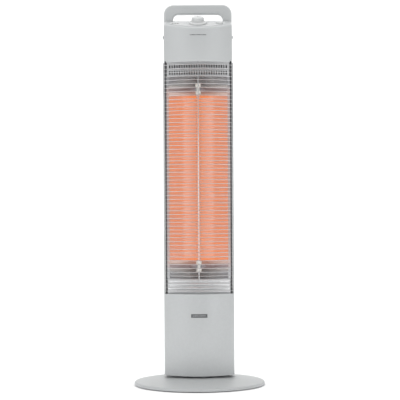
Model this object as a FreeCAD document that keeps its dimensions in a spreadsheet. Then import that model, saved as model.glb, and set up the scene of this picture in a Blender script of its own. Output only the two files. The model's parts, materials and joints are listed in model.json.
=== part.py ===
import FreeCAD, Part
import math
import os

import Sketcher

# Oscillating infrared tower heater, in millimetres.
# Origin: floor level on the swing axis. +Z up, front towards -Y, +X to the right seen from the front.

DOC = FreeCAD.newDocument("TowerHeater")
SHEET = DOC.addObject("Spreadsheet::Sheet", "Sizes")

DRIVING_SIZES = {
    # column casing
    "column_width": 177.0,
    "column_reach": 54.0,           # swing axis to the frontmost line of the casing
    "column_back": 50.0,            # swing axis to the rear face
    "front_setback": 42.57,         # frontmost line to the middle of the corner rounding; sets the bow
    "front_corner": 12.0,
    "rear_corner": 30.0,
    "casing_wall": 2.5,
    "parting_depth": 8.0,           # front and rear column casings meet this far ahead of the axis
    # heights up the column
    "column_bottom": 26.0,
    "cover_height": 205.4,
    "lower_plate_height": 38.0,
    "reflector_height": 509.0,
    "vent_height": 36.3,
    # head
    "head_step": 2.2,               # the head stands in from the column all round
    "head_front_height": 84.3,
    "head_slope": 20.0,             # control panel slope, degrees
    "head_depth": 12.0,             # crest of the slope behind the axis
    "head_fillet": 7.0,
    "pocket_depth": 25.0,           # hand pocket floor below the crest
    "head_vent_width": 60.0,
    # carry handle
    "handle_rise": 42.0,            # crest of the head to the top of the handle
    "handle_bar": 24.0,
    "handle_leg": 22.8,
    "handle_depth": 26.0,
    "handle_gap": 1.5,              # crest to the front of the handle
    "handle_corner": 24.0,
    "handle_inner_corner": 14.0,
    "handle_edge": 4.0,
    # control panel, measured along the slope
    "panel_back_reach": 18.0,       # panel reference point ahead of the swing axis
    "panel_side": 18.5,             # casing side to the panel's end
    "panel_front": 28.0,
    "panel_side_front": 2.0,
    "panel_rear": 22.0,
    "panel_thickness": 1.2,
    "panel_corner": 5.0,
    "dial_skirt_radius": 22.5,
    "dial_skirt_height": 5.0,
    "dial_grip_radius": 15.5,
    "dial_grip_height": 11.0,
    "dial_flute_radius": 1.2,
    "dial_flutes": 24,
    "dial_lift": 0.4,
    "dial_shaft_radius": 3.0,
    "dial_shaft_gap": 2.0,          # end of the shaft to the bottom of the switch
    "switch_side": 22.0,
    "switch_depth": 13.0,
    "switch_neck_radius": 5.5,
    "switch_step": 0.5,             # underside of the slope to the switch's case
    "button_inset": 15.0,           # panel's end to the button's middle
    "button_radius": 8.5,
    "button_height": 6.0,
    "button_rim": 1.5,
    "button_flange": 1.3,
    "button_travel": 1.5,
    "button_play": 0.4,
    "button_fillet": 1.5,
    "lens_radius": 2.2,
    "lens_pitch": 6.5,
    "lens_inset": 6.5,              # panel's end to the outermost lens
    "lens_stand": 1.8,
    "board_drop": 8.0,              # underside of the slope to the panel board
    "board_thickness": 1.6,
    "board_front": 6.0,
    "board_side_gap": 4.0,
    "board_notch_gap": 0.5,
    "tact_half": 3.0,
    "tact_case_share": 0.7,         # of the height from the board to the stem's top
    "tact_stem_radius": 1.7,
    "tact_gap": 0.3,
    # side caps and badge
    "cap_radius": 4.0,
    "cap_stand": 3.0,
    "cap_rise": 65.3,               # foot of the head to the middle of the caps
    "badge_width": 41.0,
    "badge_height": 9.0,
    "badge_drop": 53.8,             # top of the lower cover to the middle of the badge
    "badge_stand": 0.6,
    # reflector and heater
    "reflector_mouth": 20.0,        # mouth ahead of the swing axis
    "reflector_depth": 52.0,
    "sheet_thickness": 0.8,
    "reflector_flange": 6.0,
    "tube_radius": 5.5,
    "tube_wall": 1.0,
    "element_radius": 3.5,
    "element_wall": 0.4,
    "element_tail_radius": 0.9,
    "element_plug": 2.0,
    "tube_cap_radius": 7.0,
    "tube_cap_length": 27.0,
    "tube_socket": 12.0,
    "tube_end_gap": 15.4,           # reflector end plate to the ceramic cap
    "element_margin": 15.0,
    "clip_wall": 1.0,
    "clip_height": 10.0,
    "clip_foot_half": 5.0,
    "clip_mouth_half": 4.0,
    "clip_foot_gap": 0.3,
    "lead_hole_radius": 4.5,        # hole in each end plate for the heater's lead
    # bright plates behind the guard
    "plate_clearance": 1.4,         # reflector flange edge to the edge of the bowed plates
    "plate_radius": 300.0,
    "rib_radius": 1.6,
    "rib_count": 4,
    "lower_plate_gap": 0.4,         # top of the lower plate to the reflector
    "slot_width": 3.2,
    "slot_height": 10.5,
    "slot_margin": 4.0,
    "slot_count": 24,
    "slot_row_pitch": 16.4,
    "slot_row_rise": 10.0,
    # wire guard
    "wire_radius": 0.8,
    "guard_pitch": 9.65,
    "guard_end_gap": 5.0,           # least height from the window's ends to a wire's middle
    "guard_back": 9.0,
    "upright_radius": 1.25,
    "upright_tuck": 8.0,
    "upright_shelf_gap": 9.6,       # shelf behind the bow to the middle of a side upright
    "weld_depth": 0.3,              # how far the uprights sink into the wires
    # sheet frame inside the column
    "rail_thickness": 1.2,
    "rail_flange": 13.0,
    "rail_rear": 16.0,
    "rail_lip_gap": 0.9,            # edge of the reflector's trough to the rail's front lip
    "rail_clearance": 0.6,
    "shield_depth": 36.0,
    "shield_flange": 23.0,
    "shield_margin": 20.0,
    "shield_notch_play": 0.5,
    # rear casing details
    "rear_boss_radius": 6.0,
    "rear_boss_inset": 8.4,         # outer face of the rail to the middle of its screws
    "rear_boss_seat": 6.0,          # boss face to the seat of the screw's head
    "rear_slot_height": 4.0,
    "rear_slot_width": 84.0,
    "rear_slot_pitch": 14.0,
    "rear_slot_count": 9,
    "head_vent_rise": 20.0,
    "head_vent_count": 4,
    "screw_drop_low": 150.0,        # top of the lower cover to the lowest screws
    "screw_drop_cover": 40.0,
    "screw_rise_reflector": 150.0,  # foot of the reflector to the middle screws
    "screw_drop_reflector": 130.0,  # top of the reflector to the upper screws and the thermostat
    "screw_rise_vent": 10.0,
    "rear_screw_end": 1.5,
    "screw_radius": 2.0,
    "screw_head_radius": 3.8,
    "screw_head_height": 2.6,
    "screw_clearance": 0.2,
    "small_screw_radius": 1.2,
    "small_head_radius": 2.2,
    "small_head_height": 1.2,
    # mains inlet bush
    "inlet_height": 62.0,
    "inlet_bore": 3.6,
    "inlet_radius": 8.0,
    "inlet_rim_radius": 11.0,
    "inlet_rim": 2.0,
    "inlet_inside": 9.0,
    "inlet_outside": 7.0,
    # base
    "base_width": 330.0,
    "base_rim_bottom": 2.0,
    "base_rim_height": 5.0,
    "base_edge_radius": 4.4,
    "base_top": 21.0,
    "base_crown": 1.8,
    "base_plateau": 60.0,
    "base_wall": 2.5,
    "base_plate_gap": 3.0,
    "base_plate_thickness": 4.0,
    "foot_radius": 11.0,
    "foot_height": 2.5,
    "foot_inset": 30.0,
    "foot_count": 6,
    "base_boss_radius": 5.0,
    "base_boss_circle": 100.0,
    "base_screw_count": 4,
    "base_screw_bite": 5.0,
    "base_screw_recess": 0.7,       # screw heads stay this far above the floor
    "base_opening_play": 1.0,
    # swivel
    "post_radius": 25.0,
    "post_wall": 5.0,
    "post_step": 5.0,               # post to the stouter neck that carries the washer
    "post_flange_width": 16.0,
    "post_flange": 3.0,
    "post_shoulder": 28.0,
    "post_top": 50.0,
    "post_screw_reach": 8.0,        # neck to the screws' circle
    "post_screw_count": 4,
    "post_screw_recess": 0.5,
    "lead_way_radius": 3.0,
    "lead_clearance": 0.3,
    "washer_play": 0.2,
    "washer_thickness": 2.0,
    "swivel_play": 0.08,            # radial running clearance
    "bush_wall": 3.0,
    "bush_rim": 6.0,
    "bush_drop": 4.0,               # top of the post to the top of the bush
    "floor_thickness": 2.0,
    "floor_clearance": 0.3,
    # swing drive
    "yoke_thickness": 2.5,
    "yoke_arm": 16.0,
    "yoke_eye": 8.0,
    "yoke_margin": 4.0,
    "yoke_screw_count": 4,
    "yoke_screw_bite": 5.0,
    "slot_end_play": 0.7,
    "motor_offset": 34.0,           # crank centre from the swing axis
    "swing_angle": 30.0,
    "crank_pin_radius": 2.5,
    "crank_pin_play": 1.15,
    "crank_rim": 6.0,
    "crank_thickness": 3.0,
    "crank_rise": 2.5,
    "crank_pin_tip": 1.0,
    "crank_shaft_run": 10.0,
    "motor_radius": 25.0,
    "motor_height": 18.0,
    "motor_ear_radius": 30.0,
    "motor_ear": 1.0,
    "motor_nose_radius": 6.0,
    "motor_screw_end": 1.0,
    "motor_shaft_radius": 3.0,
    "bracket_thickness": 2.0,
    "bracket_half_depth": 32.0,
    "bracket_leg_half_depth": 12.0,
    "bracket_foot": 14.0,
    "bracket_rail_gap": 2.2,        # frame rail to the bracket's leg
    "bracket_gap": 2.0,             # crank to the bracket above it
    # tip-over switch
    "tip_offset": 66.0,
    "tip_rod_radius": 4.0,
    "tip_collar_radius": 6.0,
    "tip_travel": 4.0,
    "tip_play": 0.3,
    "tip_box_length": 26.0,
    "tip_box_width": 20.0,
    "tip_box_height": 10.5,
    "tip_box_wall": 1.5,
    "tip_collar_height": 1.4,
    "tip_rest_gap": 0.1,
    "tip_contact_gap": 2.0,
    "tip_contact": 0.4,
    "tip_blade_half": 2.0,
    "tip_blade": 1.0,
    "spring_wire": 0.3,
    "spring_turns": 5,
    # electrics in the lower column
    "power_board_low": 100.0,
    "power_board_size": 100.0,
    "power_board_depth": 36.0,
    "spacer_radius": 3.5,
    "spacer_inset": 6.0,
    "relay_width": 16.0,
    "relay_depth": 18.0,
    "relay_height": 22.0,
    "relay_rise": 50.0,
    "relay_pitch": 22.0,
    "relay_start": 34.0,            # first relay, to the left of the middle
    "sink_start": 14.0,
    "sink_rise": 40.0,
    "sink_height": 40.0,
    "sink_base": 4.0,
    "sink_depth": 20.0,
    "fin_count": 6,
    "fin_pitch": 6.0,
    "fin_thickness": 2.0,
    "terminal_start": 46.0,         # terminal block, to the left of the middle
    "terminal_width": 30.0,
    "terminal_depth": 14.0,
    "terminal_rise": 8.0,
    "terminal_height": 12.0,
    "thermostat_radius": 8.0,
    "thermostat_depth": 6.0,
    "thermostat_tab": 12.0,
    "thermostat_tab_half": 4.0,
    # leads
    "lead_radius": 1.5,
    "lead_bend": 8.0,
    "lead_drop": 18.0,              # top of the lower cover to the lower lead's bend
    "lead_step": 24.0,
    "lead_head_gap": 14.0,
    "lead_rail_gap": 5.0,
    "lead_trough_gap": 10.0,        # back of the trough to the leads that run down beside it
    "lead_spread": 40.0,
    "cable_rise": 88.0,
    "cable_drop": 60.0,
    "cable_side": 50.0,
    "cable_panel": 24.0,
    "cable_board_gap": 6.0,
}


class Size:
    """A driven size: its expression for the sheet, and its present value."""

    def __init__(self, text, value):
        self.text = text
        self.value = float(value)

    def __add__(self, other):
        other = as_size(other)
        return Size(f"({self.text} + {other.text})", self.value + other.value)

    def __sub__(self, other):
        other = as_size(other)
        return Size(f"({self.text} - {other.text})", self.value - other.value)

    def __mul__(self, other):
        other = as_size(other)
        return Size(f"({self.text} * {other.text})", self.value * other.value)

    def __truediv__(self, other):
        other = as_size(other)
        return Size(f"({self.text} / {other.text})", self.value / other.value)

    def __radd__(self, other):
        return as_size(other) + self

    def __rsub__(self, other):
        return as_size(other) - self

    def __rmul__(self, other):
        return as_size(other) * self

    def __rtruediv__(self, other):
        return as_size(other) / self

    def __neg__(self):
        return Size(f"(0 - {self.text})", -self.value)

    def __float__(self):
        return self.value


def as_size(number):
    if isinstance(number, Size):
        return number
    return Size(repr(number) if number >= 0 else f"({number!r})", number)


def root(size):
    size = as_size(size)
    return Size(f"sqrt({size.text})", math.sqrt(size.value))


def sine(angle):
    angle = as_size(angle)
    return Size(f"sin({angle.text})", math.sin(math.radians(angle.value)))


def cosine(angle):
    angle = as_size(angle)
    return Size(f"cos({angle.text})", math.cos(math.radians(angle.value)))


def tangent(angle):
    return sine(angle) / cosine(angle)


def leg(hypotenuse, side):
    """The other side of a right triangle."""
    return root(hypotenuse * hypotenuse - side * side)


def whole(size):
    """The whole number at or under a size."""
    return Size(f"floor({size.text})", math.floor(size.value))


def smaller(first, second):
    first = as_size(first)
    second = as_size(second)
    return Size(f"min({first.text}; {second.text})", min(first.value, second.value))


def larger(first, second):
    return -smaller(-as_size(first), -as_size(second))


class Sheet:
    """Reads the driving sizes back from the spreadsheet, by alias."""

    def __getattr__(self, alias):
        return Size(f"Sizes.{alias}", getattr(SHEET, alias))


for row, (alias, number) in enumerate(DRIVING_SIZES.items(), start=1):
    SHEET.set(f"A{row}", alias.replace("_", " "))
    SHEET.set(f"B{row}", str(number))
    SHEET.setAlias(f"B{row}", alias)
DOC.recompute()
sizes = Sheet()

# ---------------------------------------------------------------- helpers

NODES = []
OVERCUT = 1.0           # how far a cutting tool runs past what it cuts
JOIN = 1.0              # how far one solid runs into the next that it is joined to
TOOL_REACH = 5.0
TOUCH = 0.01            # points this close count as the same
DIAGONAL = 45           # degrees
X_AXIS = FreeCAD.Vector(1, 0, 0)
Y_AXIS = FreeCAD.Vector(0, 1, 0)
Z_AXIS = FreeCAD.Vector(0, 0, 1)


def node(shape_object, name):
    """Names a finished sub-part; the name is also its file's name."""
    shape_object.Label = name
    NODES.append(shape_object)
    return shape_object


def bind(thing, prop, size):
    thing.setExpression(prop, as_size(size).text)


def place(thing, x=0, y=0, z=0, axis=None, turn=0):
    """Puts a Part primitive at a bound place, turned about an axis by degrees."""
    if axis is not None:
        thing.Placement = FreeCAD.Placement(FreeCAD.Vector(), FreeCAD.Rotation(axis, float(turn)))
        if isinstance(turn, Size):
            bind(thing, "Placement.Rotation.Angle", turn)
    for letter, size in zip("xyz", (x, y, z)):
        bind(thing, f"Placement.Base.{letter}", size)
    return thing


def box(name, x_range, y_range, z_range):
    solid = DOC.addObject("Part::Box", name)
    for prop, (low, high) in zip(("Length", "Width", "Height"), (x_range, y_range, z_range)):
        bind(solid, prop, as_size(high) - low)
    return place(solid, x_range[0], y_range[0], z_range[0])


def rod(name, radius, length, x=0, y=0, z=0, axis=None, turn=0):
    """A round bar that rises from its place along Z, or along the turned Z."""
    solid = DOC.addObject("Part::Cylinder", name)
    bind(solid, "Radius", radius)
    bind(solid, "Height", length)
    return place(solid, x, y, z, axis, turn)


def cut(name, base, *tools):
    result = DOC.addObject("Part::Cut", name)
    result.Base = base
    result.Tool = tools[0] if len(tools) == 1 else fuse(name + "_tools", *tools)
    return result


def fuse(name, *parts):
    result = DOC.addObject("Part::MultiFuse", name)
    result.Shapes = list(parts)
    return result


def common(name, first, second):
    result = DOC.addObject("Part::MultiCommon", name)
    result.Shapes = [first, second]
    return result


def ring(name, outer, inner, length, **where):
    """A straight tube."""
    body = rod(name + "_outer", outer, length, **where)
    hole = rod(name + "_bore", inner, length, **where)
    return cut(name, body, hole)


def body_named(name):
    return DOC.addObject("PartDesign::Body", name)


def sketch_in(body, name, role, lift=0):
    """A sketch on one of the body's own origin planes, moved along the plane's normal."""
    sketch = body.newObject("Sketcher::SketchObject", name)
    plane = next(item for item in body.Origin.OriginFeatures if item.Role == role)
    sketch.AttachmentSupport = [(plane, "")]
    sketch.MapMode = "FlatFace"
    bind(sketch, "AttachmentOffset.Base.z", lift)
    return sketch


def pin_point(sketch, geometry, end, x, y):
    for kind, size in (("DistanceX", x), ("DistanceY", y)):
        size = as_size(size)
        number = sketch.addConstraint(Sketcher.Constraint(kind, -1, 1, geometry, end, size.value))
        sketch.setExpression(f"Constraints[{number}]", size.text)


def line(x, y):
    return ("line", x, y, 0, 0)


def arc(x, y, radius, turn):
    """An arc to (x, y); turn is 1 for a left-hand bend and -1 for a right-hand one."""
    return ("arc", x, y, radius, turn)


def arc_centre(start, end, radius, turn):
    chord = end - start
    middle = start + chord * 0.5
    rise = math.sqrt(max(radius * radius - chord.Length * chord.Length / 4, 0))
    left = FreeCAD.Vector(-chord.y, chord.x, 0).normalize()
    return middle + left * rise * turn


def draw_step(sketch, step, start, end):
    """Draws one step and returns its number with the numbers of its near and far ends."""
    kind, _, _, radius, turn = step
    if kind == "line":
        return sketch.addGeometry(Part.LineSegment(start, end)), 1, 2
    radius = as_size(radius)
    centre = arc_centre(start, end, radius.value, turn)
    low, high = (start, end) if turn > 0 else (end, start)
    angle_low = math.atan2(low.y - centre.y, low.x - centre.x)
    angle_high = math.atan2(high.y - centre.y, high.x - centre.x)
    if angle_high < angle_low:
        angle_high += 2 * math.pi
    circle = Part.Circle(centre, Z_AXIS, radius.value)
    number = sketch.addGeometry(Part.ArcOfCircle(circle, angle_low, angle_high))
    bound = sketch.addConstraint(Sketcher.Constraint("Radius", number, radius.value))
    sketch.setExpression(f"Constraints[{bound}]", radius.text)
    near, far = (1, 2) if turn > 0 else (2, 1)
    return number, near, far


def draw(sketch, steps, closed=True):
    """Draws an outline: each step runs from the end of the last one to its own point."""
    points = [FreeCAD.Vector(float(step[1]), float(step[2]), 0) for step in steps]
    first = 0 if closed else 1
    drawn = []
    for index in range(first, len(steps)):
        drawn.append(draw_step(sketch, steps[index], points[index - 1], points[index]))
    if not closed:
        pin_point(sketch, drawn[0][0], drawn[0][1], steps[0][1], steps[0][2])
    for place_in_row, (number, _, far) in enumerate(drawn):
        _, x, y, _, _ = steps[first + place_in_row]
        if closed or place_in_row + 1 < len(drawn):
            after, after_near, _ = drawn[(place_in_row + 1) % len(drawn)]
            sketch.addConstraint(Sketcher.Constraint("Coincident", number, far, after, after_near))
        pin_point(sketch, number, far, x, y)


def draw_circle(sketch, x, y, radius):
    x, y, radius = as_size(x), as_size(y), as_size(radius)
    centre = FreeCAD.Vector(x.value, y.value, 0)
    number = sketch.addGeometry(Part.Circle(centre, Z_AXIS, radius.value))
    pin_point(sketch, number, 3, x, y)
    bound = sketch.addConstraint(Sketcher.Constraint("Radius", number, radius.value))
    sketch.setExpression(f"Constraints[{bound}]", radius.text)


def rectangle(x_range, y_range):
    (left, right), (low, high) = x_range, y_range
    return [line(left, low), line(right, low), line(right, high), line(left, high)]


def pad(body, sketch, length):
    feature = body.newObject("PartDesign::Pad", sketch.Name + "_pad")
    feature.Profile = sketch
    bind(feature, "Length", length)
    return feature


def pocket(body, sketch, length, forward=False):
    """Cuts against the sketch's normal, or along it if forward."""
    feature = body.newObject("PartDesign::Pocket", sketch.Name + "_pocket")
    feature.Profile = sketch
    feature.Reversed = forward
    bind(feature, "Length", length)
    return feature


def repeat(body, feature, sketch, axis, count, pitch):
    """A row of one feature along a sketch axis."""
    count = as_size(count)
    pattern = body.newObject("PartDesign::LinearPattern", feature.Name + "_row")
    pattern.Originals = [feature]
    pattern.Direction = (sketch, [axis])
    pattern.Length = (count.value - 1) * float(pitch)
    bind(pattern, "Length", (count - 1) * pitch)
    bind(pattern, "Occurrences", count)
    body.Tip = pattern
    return pattern


def fillet_edges(body, feature, radius, wanted):
    """Rounds the edges of the feature for which wanted(edge) is true."""
    DOC.recompute()
    names = [f"Edge{n}" for n, edge in enumerate(feature.Shape.Edges, start=1) if wanted(edge)]
    rounded = body.newObject("PartDesign::Fillet", feature.Name + "_fillet")
    rounded.Base = (feature, names)
    bind(rounded, "Radius", radius)
    return rounded


def lead(name, points, radius, bend):
    """A wire of straight runs and equal bends through the points."""
    radius = float(radius)
    bend = float(bend)
    spots = [FreeCAD.Vector(*(float(value) for value in point)) for point in points]
    edges = []
    last = spots[0]
    for before, corner, after in zip(spots, spots[1:], spots[2:]):
        inward = (before - corner).normalize()
        outward = (after - corner).normalize()
        enter = corner + inward * bend
        leave = corner + outward * bend
        middle = corner + (inward + outward) * bend * (1 - math.sqrt(0.5))
        edges.append(Part.LineSegment(last, enter).toShape())
        edges.append(Part.Arc(enter, middle, leave).toShape())
        last = leave
    edges.append(Part.LineSegment(last, spots[-1]).toShape())
    start = Part.Circle(spots[0], spots[1] - spots[0], radius)
    swept = Part.Wire(edges).makePipeShell([Part.Wire(start.toShape())], True, False)
    wire = DOC.addObject("Part::Feature", name)
    wire.Shape = swept
    wire.Placement = FreeCAD.Placement()
    return wire


def polar(count, circle, first=0):
    """Places on a circle, as pairs of bound coordinates."""
    spots = []
    for step in range(int(round(float(count)))):
        angle = first + 360.0 * step / float(count)
        spots.append((circle * cosine(angle), circle * sine(angle)))
    return spots


def screws(name, spots, head_radius, head_height, shank_radius, shank, axis=None, turn=0):
    """A set of screws: each spot is the place under the head, the shank runs back along the axis."""
    direction = FreeCAD.Rotation(axis or Z_AXIS, float(turn)).multVec(Z_AXIS)
    parts = []
    for index, spot in enumerate(spots):
        x, y, z = spot
        under = [place_under - shank * round(share) for place_under, share in zip(spot, direction)]
        parts.append(rod(f"{name}_head_{index}", head_radius, head_height, x, y, z, axis, turn))
        parts.append(rod(f"{name}_shank_{index}", shank_radius, shank, *under, axis, turn))
    return fuse(name, *parts)


# ---------------------------------------------------------------- shared geometry

half_width = sizes.column_width / 2
corner_x = half_width - sizes.front_corner
corner_y = sizes.front_setback - sizes.column_reach
bow_height = sizes.front_setback - sizes.front_corner
front_radius = (corner_x * corner_x + bow_height * bow_height) / (2 * bow_height) + sizes.front_corner
arc_middle = front_radius - sizes.column_reach          # centre of the bowed front, on the Y axis
rear_x = half_width - sizes.rear_corner
rear_y = sizes.column_back - sizes.rear_corner
parting = -sizes.parting_depth
shelf_back = -sizes.reflector_mouth - 1                 # rear edge of the shelves above and below the guard
panel_half = half_width - sizes.panel_side
button_x = panel_half - sizes.button_inset
post_bore = sizes.post_radius - sizes.post_wall
post_neck = sizes.post_radius + sizes.post_step
post_rim = post_neck + sizes.post_flange_width
post_screw_circle = post_neck + sizes.post_screw_reach


def inside_corner(y):
    """Half the clear width inside the bowed front and its corner rounding at a depth y."""
    rounding = sizes.front_corner - sizes.casing_wall
    at_corner = corner_x + leg(rounding, smaller(rounding, corner_y - y))
    at_bow = leg(front_radius - sizes.casing_wall, arc_middle - y)
    return smaller(at_corner, at_bow) - sizes.rail_clearance


flange_edge = inside_corner(-sizes.reflector_mouth)
mouth_half = flange_edge - sizes.reflector_flange
rail_front = -sizes.reflector_mouth + sizes.sheet_thickness
rail_outer = inside_corner(rail_front)
rear_boss_x = rail_outer - sizes.rear_boss_inset
plate_half = flange_edge - sizes.plate_clearance
slot_pitch = 2 * (plate_half - sizes.slot_margin) / sizes.slot_count
lens_places = [sizes.lens_inset + sizes.lens_pitch * n - panel_half for n in range(3)]

cover_top = sizes.column_bottom + sizes.cover_height
reflector_bottom = cover_top + sizes.lower_plate_height
reflector_top = reflector_bottom + sizes.reflector_height
head_bottom = reflector_top + sizes.vent_height
slope_foot = head_bottom + sizes.head_front_height      # height of the slope at the front line


def slope_height(y):
    return slope_foot + (y + sizes.column_reach) * tangent(sizes.head_slope)


crest = slope_height(sizes.head_depth)
pocket_floor = crest - sizes.pocket_depth
handle_top = crest + sizes.handle_rise


def bow(inset):
    """Where the bowed front of the casing, stood in by inset, meets its corner rounding."""
    share = (front_radius - inset) / (front_radius - sizes.front_corner)
    return corner_x * share, arc_middle + (corner_y - arc_middle) * share


def front_steps(inset, back):
    """Open front of the casing outline, from the right side round to the left side."""
    bow_x, bow_y = bow(inset)
    side = half_width - inset
    turn_radius = sizes.front_corner - inset
    return [
        line(side, back),
        line(side, corner_y),
        arc(bow_x, bow_y, turn_radius, -1),
        arc(-bow_x, bow_y, front_radius - inset, -1),
        arc(-side, corner_y, turn_radius, -1),
        line(-side, back),
    ]


def rear_steps(inset, front):
    """Open rear of the casing outline, from the left side round to the right side."""
    side = half_width - inset
    rear = sizes.column_back - inset
    turn_radius = sizes.rear_corner - inset
    return [
        line(-side, front),
        line(-side, rear_y),
        arc(-rear_x, rear, turn_radius, -1),
        line(rear_x, rear),
        arc(side, rear_y, turn_radius, -1),
        line(side, front),
    ]


def shell_steps(steps_of, inset, wall, cut_line):
    """A casing wall of even thickness, open along its cut line."""
    outer = steps_of(inset, cut_line)
    inner = steps_of(inset + wall, cut_line)
    back = []
    for index in range(len(inner) - 1, -1, -1):
        _, x, y, _, _ = inner[index]
        if index == len(inner) - 1:
            back.append(line(x, y))
            continue
        kind, _, _, radius, turn = inner[index + 1]
        back.append((kind, x, y, radius, -turn))
    return outer + back


def full_steps(inset):
    """The whole casing outline."""
    return front_steps(inset, 0)[1:-1] + rear_steps(inset, 0)[1:-1]


# ---------------------------------------------------------------- base

rim = sizes.base_width / 2
plate_bottom = sizes.foot_height
plate_top = plate_bottom + sizes.base_plate_thickness
EDGE_END = 80                                           # degrees round the rim's edge


def base_outline(inset):
    """Right-hand half of the dome's section, as its rim, edge end and plateau points."""
    edge = sizes.base_edge_radius
    rise = sizes.base_rim_height
    end_x = rim - edge + (edge - inset) * cosine(EDGE_END)
    end_z = rise + (edge - inset) * sine(EDGE_END)
    top = sizes.base_top - inset
    chord = root((end_x - sizes.base_plateau) * (end_x - sizes.base_plateau) + (top - end_z) * (top - end_z))
    radius = chord * chord / (8 * sizes.base_crown) + sizes.base_crown / 2
    return rim - inset, end_x, end_z, top, radius


def make_base_cover():
    body = body_named("base_cover_body")
    profile = sketch_in(body, "base_profile", "XZ_Plane")
    side, end_x, end_z, top, radius = base_outline(as_size(0))
    in_side, in_x, in_z, in_top, in_radius = base_outline(sizes.base_wall)
    edge = sizes.base_edge_radius
    opening = post_neck + sizes.base_opening_play
    draw(profile, [
        line(in_side, sizes.base_rim_bottom),
        line(side, sizes.base_rim_bottom),
        line(side, sizes.base_rim_height),
        arc(end_x, end_z, edge, 1),
        arc(sizes.base_plateau, top, radius, 1),
        line(opening, top),
        line(opening, in_top),
        line(sizes.base_plateau, in_top),
        arc(in_x, in_z, in_radius, -1),
        arc(in_side, sizes.base_rim_height, edge - sizes.base_wall, -1),
    ])
    dome = body.newObject("PartDesign::Revolution", "base_dome")
    dome.Profile = profile
    dome.ReferenceAxis = (profile, ["V_Axis"])
    dome.Angle = 360
    pillars = sketch_in(body, "base_pillars", "XY_Plane", plate_top)
    share = (sizes.base_boss_circle - sizes.base_plateau) / (end_x - sizes.base_plateau)
    chord_height = sizes.base_top - share * (sizes.base_top - end_z)
    for x, y in polar(sizes.base_screw_count, sizes.base_boss_circle, DIAGONAL):
        draw_circle(pillars, x, y, sizes.base_boss_radius)
        draw_circle(pillars, x, y, sizes.screw_radius)
    pad(body, pillars, chord_height - plate_top)
    return node(body, "base_cover")


def make_base_plate():
    body = body_named("base_plate_body")
    disc = sketch_in(body, "plate_disc", "XY_Plane", plate_bottom)
    draw_circle(disc, 0, 0, rim - sizes.base_wall - sizes.base_plate_gap)
    for x, y in polar(sizes.base_screw_count, sizes.base_boss_circle, DIAGONAL):
        draw_circle(disc, x, y, sizes.screw_radius)
    for x, y in polar(sizes.post_screw_count, post_screw_circle, DIAGONAL):
        draw_circle(disc, x, y, sizes.screw_radius)
    draw_circle(disc, 0, sizes.tip_offset, sizes.tip_rod_radius + sizes.tip_play)
    pad(body, disc, sizes.base_plate_thickness)
    return node(body, "base_plate")


def make_base_fittings():
    first_foot = 2 * DIAGONAL + 180.0 / float(sizes.foot_count)
    spots = polar(sizes.foot_count, rim - sizes.foot_inset, first_foot)
    feet = [rod(f"foot_{n}", sizes.foot_radius, sizes.foot_height, x, y, 0) for n, (x, y) in enumerate(spots)]
    node(fuse("feet", *feet), "base_feet")
    spots = [(x, y, plate_bottom) for x, y in polar(sizes.base_screw_count, sizes.base_boss_circle, DIAGONAL)]
    shank = sizes.base_plate_thickness + sizes.base_screw_bite
    head = sizes.foot_height - sizes.base_screw_recess
    screw_set = screws("base_fixings", spots, sizes.screw_head_radius, head, sizes.screw_radius, shank,
                       X_AXIS, 180)
    node(screw_set, "base_screws")


def make_swivel_post():
    neck_bottom = plate_top + sizes.post_flange
    flange = rod("post_flange_disc", post_rim, sizes.post_flange, z=plate_top)
    neck = rod("post_neck", post_neck, sizes.post_shoulder - plate_top, z=plate_top)
    post = rod("post_stem", sizes.post_radius, sizes.post_top - plate_top, z=plate_top)
    bore = rod("post_bore", post_bore, sizes.post_top - plate_top, z=plate_top)
    lead_way = rod("post_lead_way", sizes.lead_way_radius, post_neck + OVERCUT, 0, 0, lead_level,
                   X_AXIS, -90)
    holes = []
    spots = polar(sizes.post_screw_count, post_screw_circle, DIAGONAL)
    for n, (x, y) in enumerate(spots):
        holes.append(rod(f"post_hole_{n}", sizes.screw_radius, sizes.post_flange, x, y, plate_top))
    tapping = sizes.yoke_screw_bite + OVERCUT
    for n, (x, y) in enumerate(yoke_spots):
        holes.append(rod(f"post_tapping_{n}", sizes.small_screw_radius, tapping, x, y,
                         sizes.post_top - tapping))
    node(cut("post", fuse("post_solid", flange, neck, post), bore, lead_way, *holes), "swivel_post")
    places = [(x, y, neck_bottom) for x, y in spots]
    shank = sizes.post_flange + sizes.base_plate_thickness - sizes.post_screw_recess
    fixings = screws("post_fixings", places, sizes.screw_head_radius, sizes.screw_head_height,
                     sizes.screw_radius, shank)
    node(fixings, "post_screws")
    washer = ring("thrust_washer", post_neck, sizes.post_radius + sizes.washer_play,
                  sizes.washer_thickness, z=sizes.post_shoulder)
    node(washer, "swivel_washer")


# ---------------------------------------------------------------- swing drive

crank_throw = sizes.motor_offset * tangent(sizes.swing_angle)
yoke_top = sizes.post_top + sizes.yoke_thickness
crank_bottom = yoke_top + sizes.crank_rise
crank_top = crank_bottom + sizes.crank_thickness
bracket_bottom = crank_top + sizes.bracket_gap
bracket_top = bracket_bottom + sizes.bracket_thickness
yoke_spots = polar(sizes.yoke_screw_count, (sizes.post_radius + post_bore) / 2, DIAGONAL)
lead_level = plate_top + sizes.post_flange + sizes.lead_way_radius + sizes.lead_clearance
floor_bottom = sizes.post_shoulder + sizes.washer_thickness
floor_top = floor_bottom + sizes.floor_thickness
pin_room = sizes.crank_pin_radius + sizes.slot_end_play
slot_start = root(sizes.motor_offset * sizes.motor_offset + crank_throw * crank_throw) - pin_room
slot_end = sizes.motor_offset + crank_throw + pin_room
motor_screw_offset = (sizes.motor_radius + sizes.motor_ear_radius) / 2


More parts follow.
